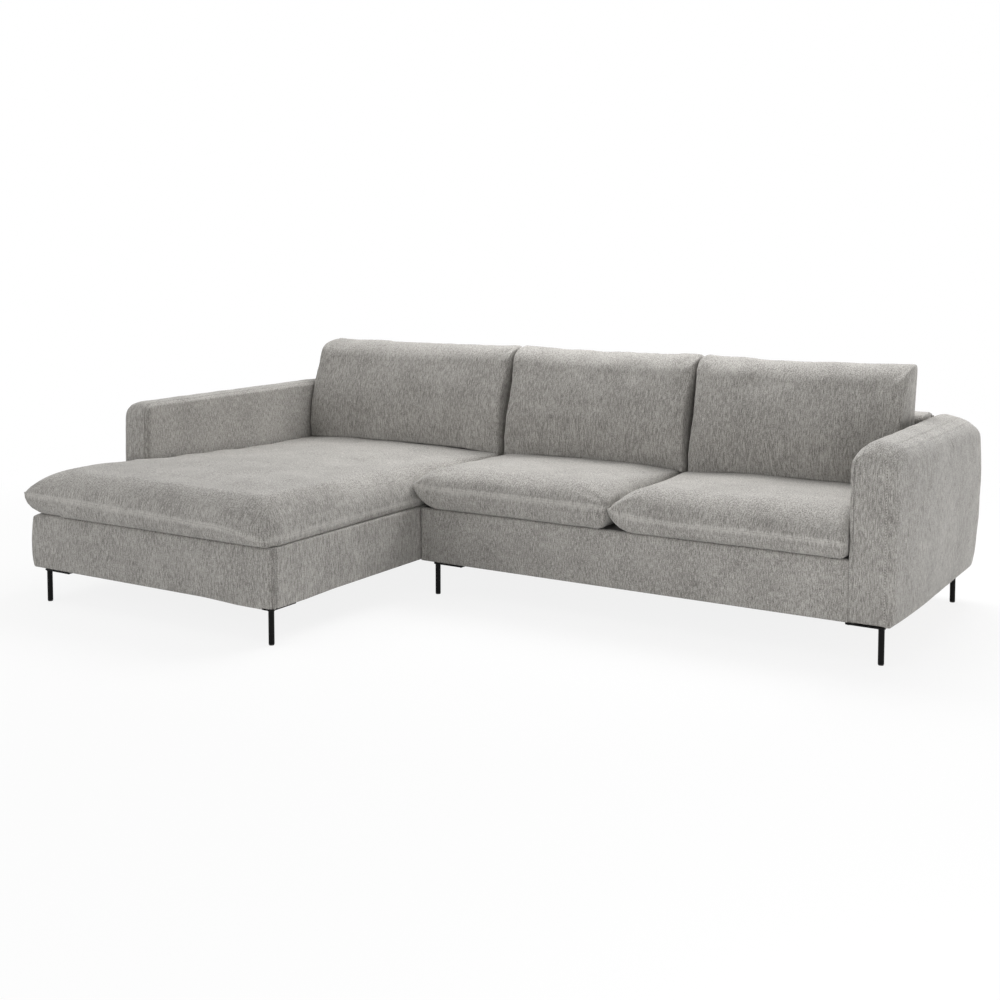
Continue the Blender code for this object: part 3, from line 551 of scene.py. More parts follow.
def face_out(mesh):
    """Turns the cloth's right side outwards, which an open net may have inwards."""
    count = len(mesh.polygons)
    centres, facings = np.empty(count * 3), np.empty(count * 3)
    mesh.polygons.foreach_get("center", centres)
    mesh.polygons.foreach_get("normal", facings)
    points = points_of(mesh)
    middle = (points.min(0) + points.max(0)) / 2
    if ((centres.reshape(-1, 3) - middle) * facings.reshape(-1, 3)).sum() < 0.0:
        mesh.flip_normals()


def paint_seam_light(mesh, amount):
    """Paints light and shade into the cloth's colour: above 0 a painted highlight on proud stitching, below 0
    painted shade in a sewn crease or gap, 0 elsewhere.
    """
    mesh.attributes.new("seam", "FLOAT", "POINT").data.foreach_set("value", amount.astype(np.float32))


def near_line(away, width):
    """1 on a line and less away from it, down to nothing at a few times this width."""
    return np.exp(-((away / width) ** 2))


def ease(points, low, high, axes, ends, radii):
    """Rounds the edge between two faces of a box: their axes and ends, and how far in each the round goes."""
    shares = []
    for axis, end, radius in zip(axes, ends, radii):
        depth = high[axis] - points[:, axis] if end else points[:, axis] - low[axis]
        shares.append(np.clip(1.0 - depth / radius, 0.0, 1.0))
    for axis, end, radius, share, other in zip(axes, ends, radii, shares, reversed(shares)):
        turned = share * np.sqrt(1.0 - other**2 / 2.0)
        shift = (share - turned) * radius
        points[:, axis] += -shift if end else shift


def unevenness(x, y, length, seed):
    """Gentle hand-laid unevenness of padding, about minus one to one, with hollows about this far apart."""
    rng = np.random.default_rng(seed)
    total = np.zeros_like(x)
    for _ in range(7):
        way, start = rng.uniform(0.0, 2 * math.pi, 2)
        pace = 2 * math.pi / (length * rng.uniform(0.6, 1.7))
        total += np.sin((x * math.cos(way) + y * math.sin(way)) * pace + start)
    return total / 3.0


BASE_STEP = 0.018
HEM_ROUND = 0.005
INNER_EDGE_ROUND = 0.004
PANEL_SWELL = 0.0030
SIDE_PUFF = 0.026
CORNER_SEAM_DEPTH = 0.0016
# Panel ends rounder than this get painted shade along them.
SHARPEST_SHADED = 0.002


def puffed(points, upright, left, reach):
    """The padding of the chaise's left side swells outwards over this reach, most near its middle."""
    lift = 0.35 + 0.65 * np.sin(math.pi * np.clip(upright, 0.0, 1.0) ** 0.8) ** 0.8
    near = np.clip(1.0 - (points[:, 0] - left) / reach, 0.0, 1.0) ** 1.5
    points[:, 0] -= SIDE_PUFF * lift * near


def base_panel(side, place, seed, long_axis, outer_end, end_rounds, top_round,
               hem_drop=0.0, seam_inset=0.0, free_corner=None, puff_reach=None):
    """One upholstered panel: long_axis it lies along, outer_end its outer face, end_rounds for both ends.

    Its hem hangs by hem_drop over a leg's plate, and the corner seam lies seam_inset in from its far end.
    free_corner rounds its upper left corner, and puff_reach is how far in the swelling of the left side goes.
    """
    node = f"{side}_{place}_border"
    low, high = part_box(node)
    bm = padded_skin([net_lines(low[axis], high[axis], BASE_STEP) for axis in range(3)])
    made = piece_of(node + "_upholstery", bm, CHENILLE, f"{side}_module")
    points = points_of(made.data)
    square = points.copy()
    thin_axis = 1 - long_axis
    thin = high[thin_axis] - low[thin_axis]
    for end, radius in ((0, HEM_ROUND), (1, top_round)):
        ease(points, low, high, (thin_axis, 2), (outer_end, end), (min(radius, thin * 0.8), radius))
        ease(points, low, high, (thin_axis, 2), (1 - outer_end, end), (INNER_EDGE_ROUND, INNER_EDGE_ROUND))
    if free_corner:
        ease(points, low, high, (0, 2), (0, 1), free_corner)
    for end, radius in enumerate(end_rounds):
        ease(points, low, high, (long_axis, thin_axis), (end, outer_end), (radius, min(radius, thin * 0.9)))
    reach = high[thin_axis] - square[:, thin_axis] if outer_end else square[:, thin_axis] - low[thin_axis]
    outward = 1.0 if outer_end else -1.0
    share = np.clip(1.0 - reach / thin, 0.0, 1.0)
    upright = (square[:, 2] - low.z) / (high.z - low.z)
    along = square[:, long_axis]
    from_ends = (along - low[long_axis], high[long_axis] - along)
    swell = PANEL_SWELL * np.sin(math.pi * upright) * np.clip(np.minimum(*from_ends) / 0.05, 0.0, 1.0)
    ripple = 0.0011 * unevenness(along, square[:, 2] * 0.5, 0.19, seed)
    ripple += 0.0005 * unevenness(along, square[:, 2], 0.055, seed + 1)
    points[:, thin_axis] += outward * share * (swell + ripple * np.sin(math.pi * upright))
    near_hem = 1.0 - np.clip(upright * 6.0, 0.0, 1.0)
    over_plate = from_ends[1 - long_axis]
    points[:, 2] -= hem_drop * share * near_hem * np.clip((0.30 - over_plate) / 0.15, 0.0, 1.0)
    if puff_reach:
        puffed(points, upright, low.x, puff_reach)
    corner_seam = share * near_line(from_ends[1] - seam_inset, 0.0020) * (seam_inset > 0.0)
    points[:, thin_axis] -= outward * CORNER_SEAM_DEPTH * corner_seam
    set_points(made.data, points)
    # Painted shade: the colour darkens along the corner seam and along rounded panel ends, in the creases and
    # gaps between panels and modules.
    painted_gap_shade = [
        near_line(away, 0.0026) * (radius > SHARPEST_SHADED) for away, radius in zip(from_ends, end_rounds)
    ]
    paint_seam_light(made.data, -np.maximum(0.5 * corner_seam, 0.7 * np.maximum(*painted_gap_shade)))
    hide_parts(node)


base_panel(
    "chaise", "front", 11, 0, 0, (0.005, 0.018), 0.013,
    hem_drop=0.0068, seam_inset=0.0080, free_corner=(0.030, 0.020), puff_reach=0.09,
)
base_panel("chaise", "left", 12, 1, 0, (0.004, 0.006), 0.020, puff_reach=0.03)
base_panel("chaise", "right", 13, 1, 1, (0.009, 0.006), 0.007, hem_drop=0.0042)
base_panel("seater", "front", 14, 0, 0, (0.006, 0.0012), 0.010)


# Deck pads
# A dark lining cloth over a thin felt pad covers the webbing under the seat cushions. It is stitched in lines
# about 200 mm apart, which hold the pad flat.

DECK_STEP = 0.02
DECK_STITCH_PITCH = 0.20
DECK_STITCH_DEPTH = 0.0035
WEAVE_SCALE = 330.0


def cross_weave(tree, place):
    waves = [
        add(tree, "TexWave", {"Vector": place, "Scale": WEAVE_SCALE, "Distortion": 1.2}, bands_direction=way)
        for way in ("X", "Y")
    ]
    cross = add(tree, "Math", {0: waves[0].outputs["Fac"], 1: waves[1].outputs["Fac"]}, operation="MAXIMUM")
    return blend_of(tree, "FLOAT", 0.5, cross.outputs[0], noise(tree, place, 12.0, 4.0)), cross.outputs[0]


DECK_CLOTH = patterned(
    "deck_cloth_grey", (0.12, 0.115, 0.11), 0.93,
    ((0.070, 0.067, 0.064, 1.0), (0.170, 0.164, 0.157, 1.0)), cross_weave, 0.0004,
)


def deck_pad(side, absent):
    low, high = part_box(f"{side}_deck_pad")
    bm = flat_net(even_lines(low.x, high.x, DECK_STEP), even_lines(low.y, high.y, DECK_STEP), high.z, absent)
    made = piece_of(f"{side}_deck_padding", bm, DECK_CLOTH, f"{side}_module")
    points = points_of(made.data)
    rows = (points[:, 1] - low.y) / DECK_STITCH_PITCH
    to_stitch = np.abs(rows - np.round(rows)) * DECK_STITCH_PITCH
    points[:, 2] -= DECK_STITCH_DEPTH * near_line(to_stitch, 0.012) + 0.0004
    set_points(made.data, points)
    thicken(made, high.z - low.z - 0.0045, -1.0)
    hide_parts(f"{side}_deck_pad")


deck_pad("seater", nowhere)
deck_pad("chaise", under_arm)


# Arms
# Each arm is a board padded all round. One strip of cloth runs up its front, over its rounded corner and
# along its top; a flat panel closes the inside, and a fuller one, sewn in 25 mm from the edge, swells on
# the outside.

ARM_WIDTH = 0.142
ARM_HEIGHT = 0.565
ARM_SEAM_INSET = 0.025
ARM_INNER_SEAM = 0.0128
ARM_CREASE = 0.0020
ARM_REAR_ROUND = 0.100
ARM_OUTER_SHOULDER = (0.086, 0.068)
ARM_OUTER_HEM = (0.014, 0.022)
ARM_FRONT_HEM = (0.008, 0.010)
ARM_SHARP = 0.0012
ARM_BULGE = 0.040
ARM_WALL = 0.018
DECK_LEVEL = 0.330
arm_seams = []


def soften(piece):
    """Rounds the cloth between the points of its net."""
    made = piece.modifiers.new("soft_cloth", "SUBSURF")
    made.levels = made.render_levels = 1


def arm(side, body, outward, front_round, shoulder, front_corner, crown, seed):
    """front_round is seen from the side, shoulder is the inner top edge's and crown the rise of the top."""
    box_low, box_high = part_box(f"{side}_arm_cover")
    inner = box_low.x if outward > 0 else box_high.x
    low = Vector((0.0, box_low.y, box_low.z))
    high = Vector((ARM_WIDTH, box_high.y, box_low.z + ARM_HEIGHT))
    seam_place = ARM_WIDTH - ARM_SEAM_INSET
    across = [place + step * ARM_CREASE for place in (seam_place, ARM_INNER_SEAM) for step in (-1, 0, 1)]
    across = sorted(across + [
        line for line in net_lines(0.0, ARM_WIDTH, 0.012)
        if min(abs(line - seam_place), abs(line - ARM_INNER_SEAM)) > 0.0030 or line in (0.0, ARM_WIDTH)
    ])
    lines = [across, net_lines(low.y, high.y, 0.014), net_lines(low.z, high.z, 0.014)]
    bm = padded_skin(lines, open_below=True)
    made = piece_of(f"{side}_arm_upholstery", bm, CHENILLE, body)
    points = points_of(made.data)
    square = points.copy()
    width, depth, height = square.T
    along = (depth - low.y) / (high.y - low.y)
    up = (height - low.z) / ARM_HEIGHT
    above_deck = np.clip((height - DECK_LEVEL) / 0.05, 0.0, 1.0)
    inner_round = ARM_SHARP + (front_corner[0] - ARM_SHARP) * above_deck
    for axes, ends, radii in (
        ((0, 1), (0, 0), (inner_round, inner_round)),
        ((0, 1), (1, 0), (front_corner[1], front_corner[1])),
        ((0, 1), (0, 1), (0.010, 0.010)),
        ((0, 1), (1, 1), (0.024, 0.024)),
        ((0, 2), (0, 1), shoulder),
        ((0, 2), (1, 1), ARM_OUTER_SHOULDER),
        ((0, 2), (1, 0), ARM_OUTER_HEM),
        ((1, 2), (0, 0), ARM_FRONT_HEM),
        ((1, 2), (0, 1), (front_round, front_round)),
        ((1, 2), (1, 1), (ARM_REAR_ROUND, ARM_REAR_ROUND)),
    ):
        ease(points, low, high, axes, ends, radii)
    outer = np.clip(width / ARM_WIDTH * 2.0 - 1.0, 0.0, 1.0) ** 1.5
    full = 1.0 - 1.95 * np.abs(up - 0.62) ** 2.2
    length = np.sin(math.pi / 2 * np.clip(along / 0.35, 0.0, 1.0)) ** 0.9
    points[:, 0] += outer * ARM_BULGE * full * length
    across_top = np.sin(math.pi * np.clip(width / ARM_WIDTH, 0.0, 1.0)) ** 0.7
    on_top = np.clip(up * 8.0 - 7.0, 0.0, 1.0)
    points[:, 2] += crown * across_top * on_top
    points[:, 0] += outer * 0.0016 * unevenness(depth, height, 0.17, seed) * full
    points[:, 2] += 0.0010 * unevenness(depth, width, 0.16, seed + 1) * on_top
    points[:, 0] = inner + outward * points[:, 0]
    set_points(made.data, points)
    face_out(made.data)
    on_front, on_rear = depth < low.y + 1e-6, depth > high.y - 1e-6
    on_strip = on_front | on_rear | (height > high.z - 1e-6)
    seam = np.where(on_strip, near_line(width - seam_place, 0.0012), 0.0)
    inner_seam = np.where(on_strip, near_line(width - ARM_INNER_SEAM, 0.0009), 0.0)
    inner_seam *= 0.35 + 0.65 * above_deck
    proud = np.where(on_strip & (width > seam_place), 0.0012, 0.0)
    run = depth - low.y + high.z - height
    beyond = np.where(on_strip, np.abs(width - seam_place), ARM_SEAM_INSET)
    over_edge = np.where(width > ARM_WIDTH - 1e-6, np.minimum(high.z - height, depth - low.y), 0.0)
    fading = np.exp(-(beyond + over_edge) / 0.030)
    pucker = 0.0011 * unevenness(run, np.zeros_like(run), 0.034, seed + 2) * fading
    push(made.data, points, proud - 0.0014 * seam - 0.0020 * inner_seam + pucker * (width > seam_place))
    # Painted shade darkens the colour along both seam creases, less so below the deck.
    paint_seam_light(made.data, -0.8 * seam - 1.5 * inner_seam)
    soften(made)
    thicken(made, ARM_WALL, -1.0)
    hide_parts(f"{side}_arm_cover")
    over = np.where(on_rear, high.y - low.y + high.z - height, depth - low.y)
    over = np.where(on_front, height - high.z, over)
    line = np.flatnonzero(on_strip & (np.abs(width - seam_place) < 1e-6))
    arm_seams.append((made, line[np.argsort(over[line])].tolist(), body))


arm("left", "chaise_module", -1.0, 0.045, (0.020, 0.012), (0.024, 0.044), 0.007, 21)
arm("right", "seater_module", 1.0, 0.105, (0.075, 0.045), (0.009, 0.034), 0.006, 22)


# Backs
# Each back is a padded board covered as the arms are, its front and top in one piece of cloth and its rear
# panel sewn in along the top edge and both ends.

BACK_WALL = 0.018
BACK_SEAM_INSET = 0.0048
BACK_SEAM_DEPTH = 0.0022


def back(side, seed):
    low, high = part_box(f"{side}_back_cover")
    lines = [net_lines(low[axis], high[axis], step) for axis, step in enumerate((0.016, 0.014, 0.016))]
    bm = padded_skin(lines, open_below=True)
    made = piece_of(f"{side}_back_upholstery", bm, CHENILLE, f"{side}_module")
    points = points_of(made.data)
    x, y, z = points.T.copy()
    for end, radius in ((0, 0.028), (1, 0.022)):
        ease(points, low, high, (1, 2), (end, 1), (radius, radius))
        for side_end in (0, 1):
            ease(points, low, high, (0, 1), (side_end, end), (0.008, 0.008))
    for side_end in (0, 1):
        ease(points, low, high, (0, 2), (side_end, 1), (0.012, 0.012))
    ends = np.minimum(x - low.x, high.x - x)
    up = (z - low.z) / (high.z - low.z)
    rear = y > high.y - 1e-6
    top = z > high.z - 1e-6
    swell = 0.006 * np.sin(math.pi * up) ** 0.7 * np.clip(ends / 0.06, 0.0, 1.0) ** 0.5
    points[:, 1] += np.where(rear, swell + 0.0012 * unevenness(x, z, 0.2, seed), 0.0)
    crown = np.sin(math.pi * np.clip((y - low.y) / (high.y - low.y), 0.0, 1.0))
    points[:, 2] += np.where(top, crown * (0.004 + 0.002 * unevenness(x, y, 0.2, seed + 1)), 0.0)
    set_points(made.data, points)
    face_out(made.data)
    from_edge = np.minimum(np.where(rear, high.z - z, 1.0), np.where(rear, ends, 1.0))
    seam = near_line(from_edge - BACK_SEAM_INSET, 0.0026)
    push(made.data, points, -BACK_SEAM_DEPTH * seam)
    # Painted shade darkens the colour along the sewn-in seam.
    paint_seam_light(made.data, -0.6 * seam)
    thicken(made, BACK_WALL, -1.0)
    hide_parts(f"{side}_back_cover")


back("chaise", 31)
back("seater", 32)


# Legs
# Each leg is a black steel tube welded under a flat corner plate, which button-head screws hold to the base.
# A black moulded glide is pushed into the tube's lower end.

LEG_RADIUS = 0.0098
PLATE_THICKNESS = 0.005
SCREW_INSET = 0.009
CLEAR_OF_TUBE = 0.022
WELD = ((-0.0005, -0.0035), (0.0006, -0.0030), (0.0016, -0.0014), (0.0032, 0.0002), (-0.0005, 0.0002))
SCREW_HEAD = (
    (0.0, -0.0011), (0.0021, -0.0011), (0.0021, -0.0026), (0.0030, -0.0026),
    (0.0039, -0.0019), (0.0042, -0.0008), (0.0042, 0.0002), (0.0, 0.0002),
)


def peel_and_rub(tree, place):
    peel = noise(tree, place, 900.0, 2.0)
    rub = noise(tree, place, 45.0, 4.0)
    rough = add(tree, "MapRange", {"Value": rub, "To Min": 0.34, "To Max": 0.52})
    tree.links.new(rough.outputs[0], tree.nodes["Principled BSDF"].inputs["Roughness"])
    return rub, peel


def scuffs(tree, place):
    spark = noise(tree, place, 1400.0, 1.0)
    return noise(tree, place, 150.0, 3.0), spark


POWDER_COAT = patterned(
    "powder_coat_black", (0.006, 0.006, 0.006), 0.45,
    ((0.004, 0.004, 0.004, 1.0), (0.010, 0.010, 0.010, 1.0)), peel_and_rub, 0.00008,
)
POWDER_COAT.node_tree.nodes["Principled BSDF"].inputs["Specular IOR Level"].default_value = 0.08
GLIDE_PLASTIC = patterned(
    "glide_plastic_black", (0.020, 0.020, 0.020), 0.55,
    ((0.013, 0.013, 0.013, 1.0), (0.034, 0.034, 0.034, 1.0)), scuffs, 0.00006,
)


def join_loops(bm, loops):
    """Faces all round between each closed loop of points and the next."""
    for one, two in zip(loops, loops[1:]):
        for step in range(len(one)):
            after = (step + 1) % len(one)
            bm.faces.new(list(dict.fromkeys((one[step], one[after], two[after], two[step]))))


def lathe(bm, outline, x, y, level, turns):
    """A turned piece: outline is radius and height pairs from this level, revolved about an upright axis."""
    rings = []
    for radius, height in outline:
        if radius < 1e-6:
            rings.append([bm.verts.new((x, y, level + height))] * turns)
            continue
        ring = []
        for step in range(turns):
            angle = 2 * math.pi * step / turns
            spot = (x + radius * math.cos(angle), y + radius * math.sin(angle), level + height)
            ring.append(bm.verts.new(spot))
        rings.append(ring)
    join_loops(bm, rings)


def screws_and_weld(leg, body):
    low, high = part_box(f"{leg}_leg")
    glide_low, glide_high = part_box(f"{leg}_glide")
    foot = (glide_low + glide_high) / 2
    under = high.z - PLATE_THICKNESS
    bm = bmesh.new()
    fillet = [(LEG_RADIUS + out, rise) for out, rise in WELD + WELD[:1]]
    lathe(bm, fillet, foot.x, foot.y, under, 28)
    spots = []
    for x in (low.x + SCREW_INSET, high.x - SCREW_INSET):
        for y in (low.y + SCREW_INSET, high.y - SCREW_INSET):
            if math.hypot(x - foot.x, y - foot.y) > CLEAR_OF_TUBE:
                spots.append((x, y))
    spots.append(((low.x + high.x) / 2, (low.y + high.y) / 2))
    for x, y in spots:
        lathe(bm, SCREW_HEAD, x, y, under, 18)
    piece_of(f"{leg}_leg_screws_and_weld", bm, POWDER_COAT, body)


for side in ("chaise", "seater"):
    for corner in ("front_left", "front_right", "rear_left", "rear_right"):
        leg = f"{side}_{corner}"
        dress([f"{leg}_leg"], POWDER_COAT)
        dress([f"{leg}_glide"], GLIDE_PLASTIC)
        screws_and_weld(leg, f"{side}_module")


# Module links
# Two zinc-plated steel tongues under the chaise take the pins of plates under the two-seat module, so that
# the modules are lowered together and can't drift apart. Two countersunk screws hold each tongue.

COUNTERSUNK_HEAD = (
    (0.0, 0.0006), (0.0016, 0.0006), (0.0016, -0.0004), (0.0036, -0.0002), (0.0040, 0.0002), (0.0, 0.0004),
)
LINK_SCREW_SHARE = 0.16

dress(["front_link_pin", "rear_link_pin", "front_link_socket", "rear_link_socket"], ZINC)
for name in ("front_link_socket", "rear_link_socket"):
    low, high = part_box(name)
    bm = bmesh.new()
    for y in (low.y + SCREW_INSET, high.y - SCREW_INSET):
        lathe(bm, COUNTERSUNK_HEAD, low.x + (high.x - low.x) * LINK_SCREW_SHARE, y, low.z, 18)
    piece_of(f"{name}_screws", bm, ZINC, "chaise_module")


# Seat cushions
# Loose foam cushions in a fibre wrap, sewn from a top and a bottom panel with one seam round the edge. They
# are crowned, sharp at the seam, pointed at the free corners and drawn in along the sides between them.

BASE_TOP = 0.320
BACK_REST_LEVEL = 0.4468
REAR_SEAM_LEVEL = 0.386
PRESSED_SEAM_LEVEL = 0.428
WELL_ABOVE = 0.52
PILLOW_STEP = 0.013
SEAM_LINES = (0.0, 0.0008, 0.0036, 0.0089, 0.0160, 0.0250)
# Painted shade on the points of each cushion's seam ring.
SEAM_RING_PAINTED_SHADE = -0.18
BACK_CUSHION_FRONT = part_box("seater_back_cover")[0].y - 0.262
CORNER_POWER = 2.9
TOP_BLUNTS = (0.85, 0.5, 0.5, 0.5)
BOTTOM_BLUNTS = (0.5, 0.5, 0.40, 0.5)
REAR_CORNER = (0.010, 0.010)
HALF_GAP = 0.0005
OVERHANG = 0.033
NOSE_OVERLAP = 0.018


def stuffed_net(us, vs, absent):
    """Two nets sewn together round their outline. Gives the mesh and each point's place and panel."""
    bm = bmesh.new()
    present = [
        [not absent((u0 + u1) / 2, (v0 + v1) / 2) for v0, v1 in zip(vs, vs[1:])] for u0, u1 in zip(us, us[1:])
    ]

    def holds(i, j):
        return 0 <= i < len(us) - 1 and 0 <= j < len(vs) - 1 and present[i][j]

    points = {}
    layout = []

    def point(i, j, panel):
        around = [holds(i + di, j + dj) for di in (-1, 0) for dj in (-1, 0)]
        layer = panel if all(around) else 0
        if (i, j, layer) not in points:
            points[i, j, layer] = bm.verts.new((us[i], vs[j], 0.0))
            layout.append((us[i], vs[j], layer))
        return points[i, j, layer]

    for i in range(len(us) - 1):
        for j in range(len(vs) - 1):
            if present[i][j]:
                for panel in (1, -1):
                    corners = [(i, j), (i + 1, j), (i + 1, j + 1), (i, j + 1)]
                    bm.faces.new([point(a, b, panel) for a, b in corners[::panel]])
    return bm, np.array(layout)


def notched_net(low, high, notch, step, turn_lines):
    """A stuffed net over a plan, without the rear left corner that a notch cuts away."""
    lines = []
    for start, cut, end in zip(low, notch or (None, None), high):
        whole = net_lines(start, end, step, turn_lines)
        if notch:
            whole = net_lines(start, cut, step, turn_lines)[:-1] + net_lines(cut, end, step, turn_lines)
        lines.append(whole)
    return stuffed_net(*lines, lambda x, y: notch is not None and x < notch[0] and y > notch[1])


def depth_in(x, y, low, high, notch=None):
    """How far each place lies in from the edge of its plan."""
    depth = np.minimum(np.minimum(x - low[0], high[0] - x), np.minimum(y - low[1], high[1] - y))
    return depth if notch is None else np.minimum(depth, np.maximum(x - notch[0], notch[1] - y))


def fullness(depth, reach, blunt):
    """How far a stuffed panel has risen this far in from its seam: 0 at the seam, 1 past its reach."""
    share = np.clip(depth / reach, 0.0, 1.0)
    return (1.0 - (1.0 - share) ** 2) ** blunt


def sewn_rise(x, y, span, reaches, blunts):
    """The rise of a panel sewn down round a span, each side with its own reach from seam to full height."""
    left, right, front, rear = span
    fallen = np.zeros_like(x)
    for depth, reach, blunt in zip((x - left, right - x, y - front, rear - y), reaches, blunts):
        fallen += (1.0 - fullness(depth, reach, blunt)) ** CORNER_POWER
    return 1.0 - np.minimum(fallen, 1.0) ** (1 / CORNER_POWER)


def joined(rises):
    """Panels that run into each other, as at the inside corner of the chaise cushion."""
    return np.minimum(1.0, (np.array(rises) ** 4).sum(0) ** 0.25)


def seam_ripples(points, inward, seed, amount):
    """Small puckers that the stitching draws into the cloth beside a seam."""
    along = points[:, 0] + points[:, 1] + points[:, 2] * 0.7
    return amount * unevenness(along, inward * 0.3, 0.036, seed) * np.exp(-inward / 0.024)


def gather(points, corner, axes, reach, amount, folds, seed):
    """Folds that fan out from a corner where the stuffed cloth is drawn together, as outward offsets."""
    across = points[:, axes[0]] - corner[0]
    up = points[:, axes[1]] - corner[1]
    away = np.hypot(across, up)
    turn = np.arctan2(up, across)
    start = np.random.default_rng(seed).uniform(0.0, 2 * math.pi, 2)
    waves = np.sin(folds * turn + start[0]) + 0.5 * np.sin(folds * 1.7 * turn + start[1] + away / reach)
    return amount * waves * (away / reach) * np.exp(0.5 - 0.5 * (away / reach) ** 2)


def sewn_together(name, bm, layout):
    """A cover of two panels sewn round their edge, with painted shade on its seam's points. Gives the piece
    and each point's place and panel.
    """
    made = piece_of(name + "_sewn", bm, CHENILLE, name)
    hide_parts(name + "_cover")
    # Painted shade along the seam ring.
    paint_seam_light(made.data, SEAM_RING_PAINTED_SHADE * (layout[:, 2] == 0))
    return made, layout.T


def rest_level(x):
    """Where back cushions meet the seats: lower beside the seams between seats and beside the left arm."""
    sunk = 0.017 * (near_line(x - seater_left, 0.13) + near_line(x - seat_middle, 0.13))
    return BACK_REST_LEVEL - sunk - 0.007 * near_line(x - left_arm_inner, 0.20)


def forward(x):
    """How far the left arm pushes the back cushion beside it forward."""
    return 0.018 * near_line(x - left_arm_inner, 0.16)


def seat_cushion(name, span, corners, seam_line, crown_line, top_reaches, bottom_reaches, seed,
                 notch=None, rear_pull=1.0, drawn_in=0.0):
    """span is left, right, front and rear, and corners are its plan rounds at the front left and right.

    seam_line and crown_line give the seam's level across and the top's level from front to rear. The reaches
    are how far in from each side each panel is full. notch is the corner cut away for an arm, rear_pull how
    much the rear seam is drawn down, and drawn_in how far the left side stands back under the back cushions.
    """
    left, right, front, rear = span
    bm, layout = notched_net((left, front), (right, rear), notch, PILLOW_STEP, SEAM_LINES)
    made, (x, y, panel) = sewn_together(name, bm, layout)
    spans = [span] if notch is None else [(left, right, front, notch[1]), (notch[0], right, front, rear)]
    pressed = 1.0 - 0.75 * np.clip((y - seater_front - 0.10) / 0.40, 0.0, 1.0)
    rises = []
    for reaches_by_part, blunts in ((top_reaches, TOP_BLUNTS), (bottom_reaches, BOTTOM_BLUNTS)):
        parts = []
        for part, (left_reach, right_reach, front_reach, rear_reach) in zip(spans, reaches_by_part):
            reaches = (left_reach * pressed, right_reach * pressed, front_reach, rear_reach)
            parts.append(sewn_rise(x, y, part, reaches, blunts))
        rises.append(joined(parts))
    top, bottom = rises
    seam = np.interp(x, *seam_line)
    seam = seam + (REAR_SEAM_LEVEL - seam) * np.clip((y - front) / 0.5, 0.0, 1.0) * rear_pull
    seam = seam + (PRESSED_SEAM_LEVEL - seam) * near_line(y - BACK_CUSHION_FRONT, 0.12)
    z = np.where(panel > 0, seam + (np.interp(y, *crown_line) - seam) * top, seam)
    z = np.where(panel < 0, seam - (seam - BASE_TOP + 0.002) * bottom, z)
    points = np.stack([x, y, z], 1)
    low, high = Vector((left, front, 0.0)), Vector((right, rear, 0.0))
    ease(points, low, high, (0, 1), (0, 0), (corners[0], corners[0]))
    ease(points, low, high, (0, 1), (1, 0), (corners[1], corners[1]))
    ease(points, low, high, (0, 1), (1, 1), REAR_CORNER)
    if notch is None:
        ease(points, low, high, (0, 1), (0, 1), REAR_CORNER)
    depth = depth_in(x, y, (left, front), (right, rear), notch)
    across = np.clip((x - left) / (right - left), 0.0, 1.0)
    back = np.clip((y - front) / (rear - front), 0.0, 1.0)
    points[:, 1] += 0.008 * np.sin(math.pi * across) * np.exp(-(y - front) / 0.10)
    points[:, 0] += 0.005 * np.sin(math.pi * back) * np.exp(-(x - left) / 0.08)
    points[:, 0] -= 0.005 * np.sin(math.pi * back) * np.exp(-(right - x) / 0.08)
    near_back = np.clip((y - BACK_CUSHION_FRONT + 0.12) / 0.08, 0.0, 1.0)
    points[:, 0] += drawn_in * near_back * np.exp(-(x - left) / 0.10)
    points[:, 2] += 0.0025 * unevenness(x, y, 0.30, seed + 5) * (panel > 0) * top
    folds = seam_ripples(points, depth, seed, 0.0012)
    for share, corner in enumerate((left, right)):
        folds += gather(points, (corner, front), (0, 1), 0.055, 0.0036, 14.0, seed + 6 + share) * (panel != 0)
    push(made.data, points, folds)

    def keep_clear(moved):
        """Keeps the cloth on the deck, between its neighbours and under the back cushion."""
        moved[:, 0] = np.clip(moved[:, 0], left, right)
        moved[:, 1] = np.minimum(moved[:, 1], rear)
        overhang = np.maximum(front + OVERHANG - moved[:, 1], 0.0)
        moved[:, 2] = np.maximum(moved[:, 2], BASE_TOP + 0.0002 + 0.25 * overhang)
        to_front = moved[:, 1] - BACK_CUSHION_FRONT + forward(moved[:, 0])
        under_back = np.clip((to_front + 0.01) / 0.03, 0.0, 1.0)
        ceiling = WELL_ABOVE - (WELL_ABOVE - rest_level(moved[:, 0]) + 0.0008) * under_back
        moved[:, 2] = np.minimum(moved[:, 2], ceiling)

    return made, panel, depth, keep_clear


seater_left, seater_front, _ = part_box("seater_front_border")[0]
arm_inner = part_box("right_arm_cover")[0].x
chaise_left, chaise_front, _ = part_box("chaise_front_border")[0]
chaise_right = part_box("chaise_front_border")[1].x
left_arm_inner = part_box("left_arm_cover")[1].x
left_arm_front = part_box("left_arm_cover")[0].y
seat_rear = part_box("left_seat_cushion_cover")[1].y
seat_middle = (seater_left + arm_inner) / 2
seat_front = seater_front - OVERHANG

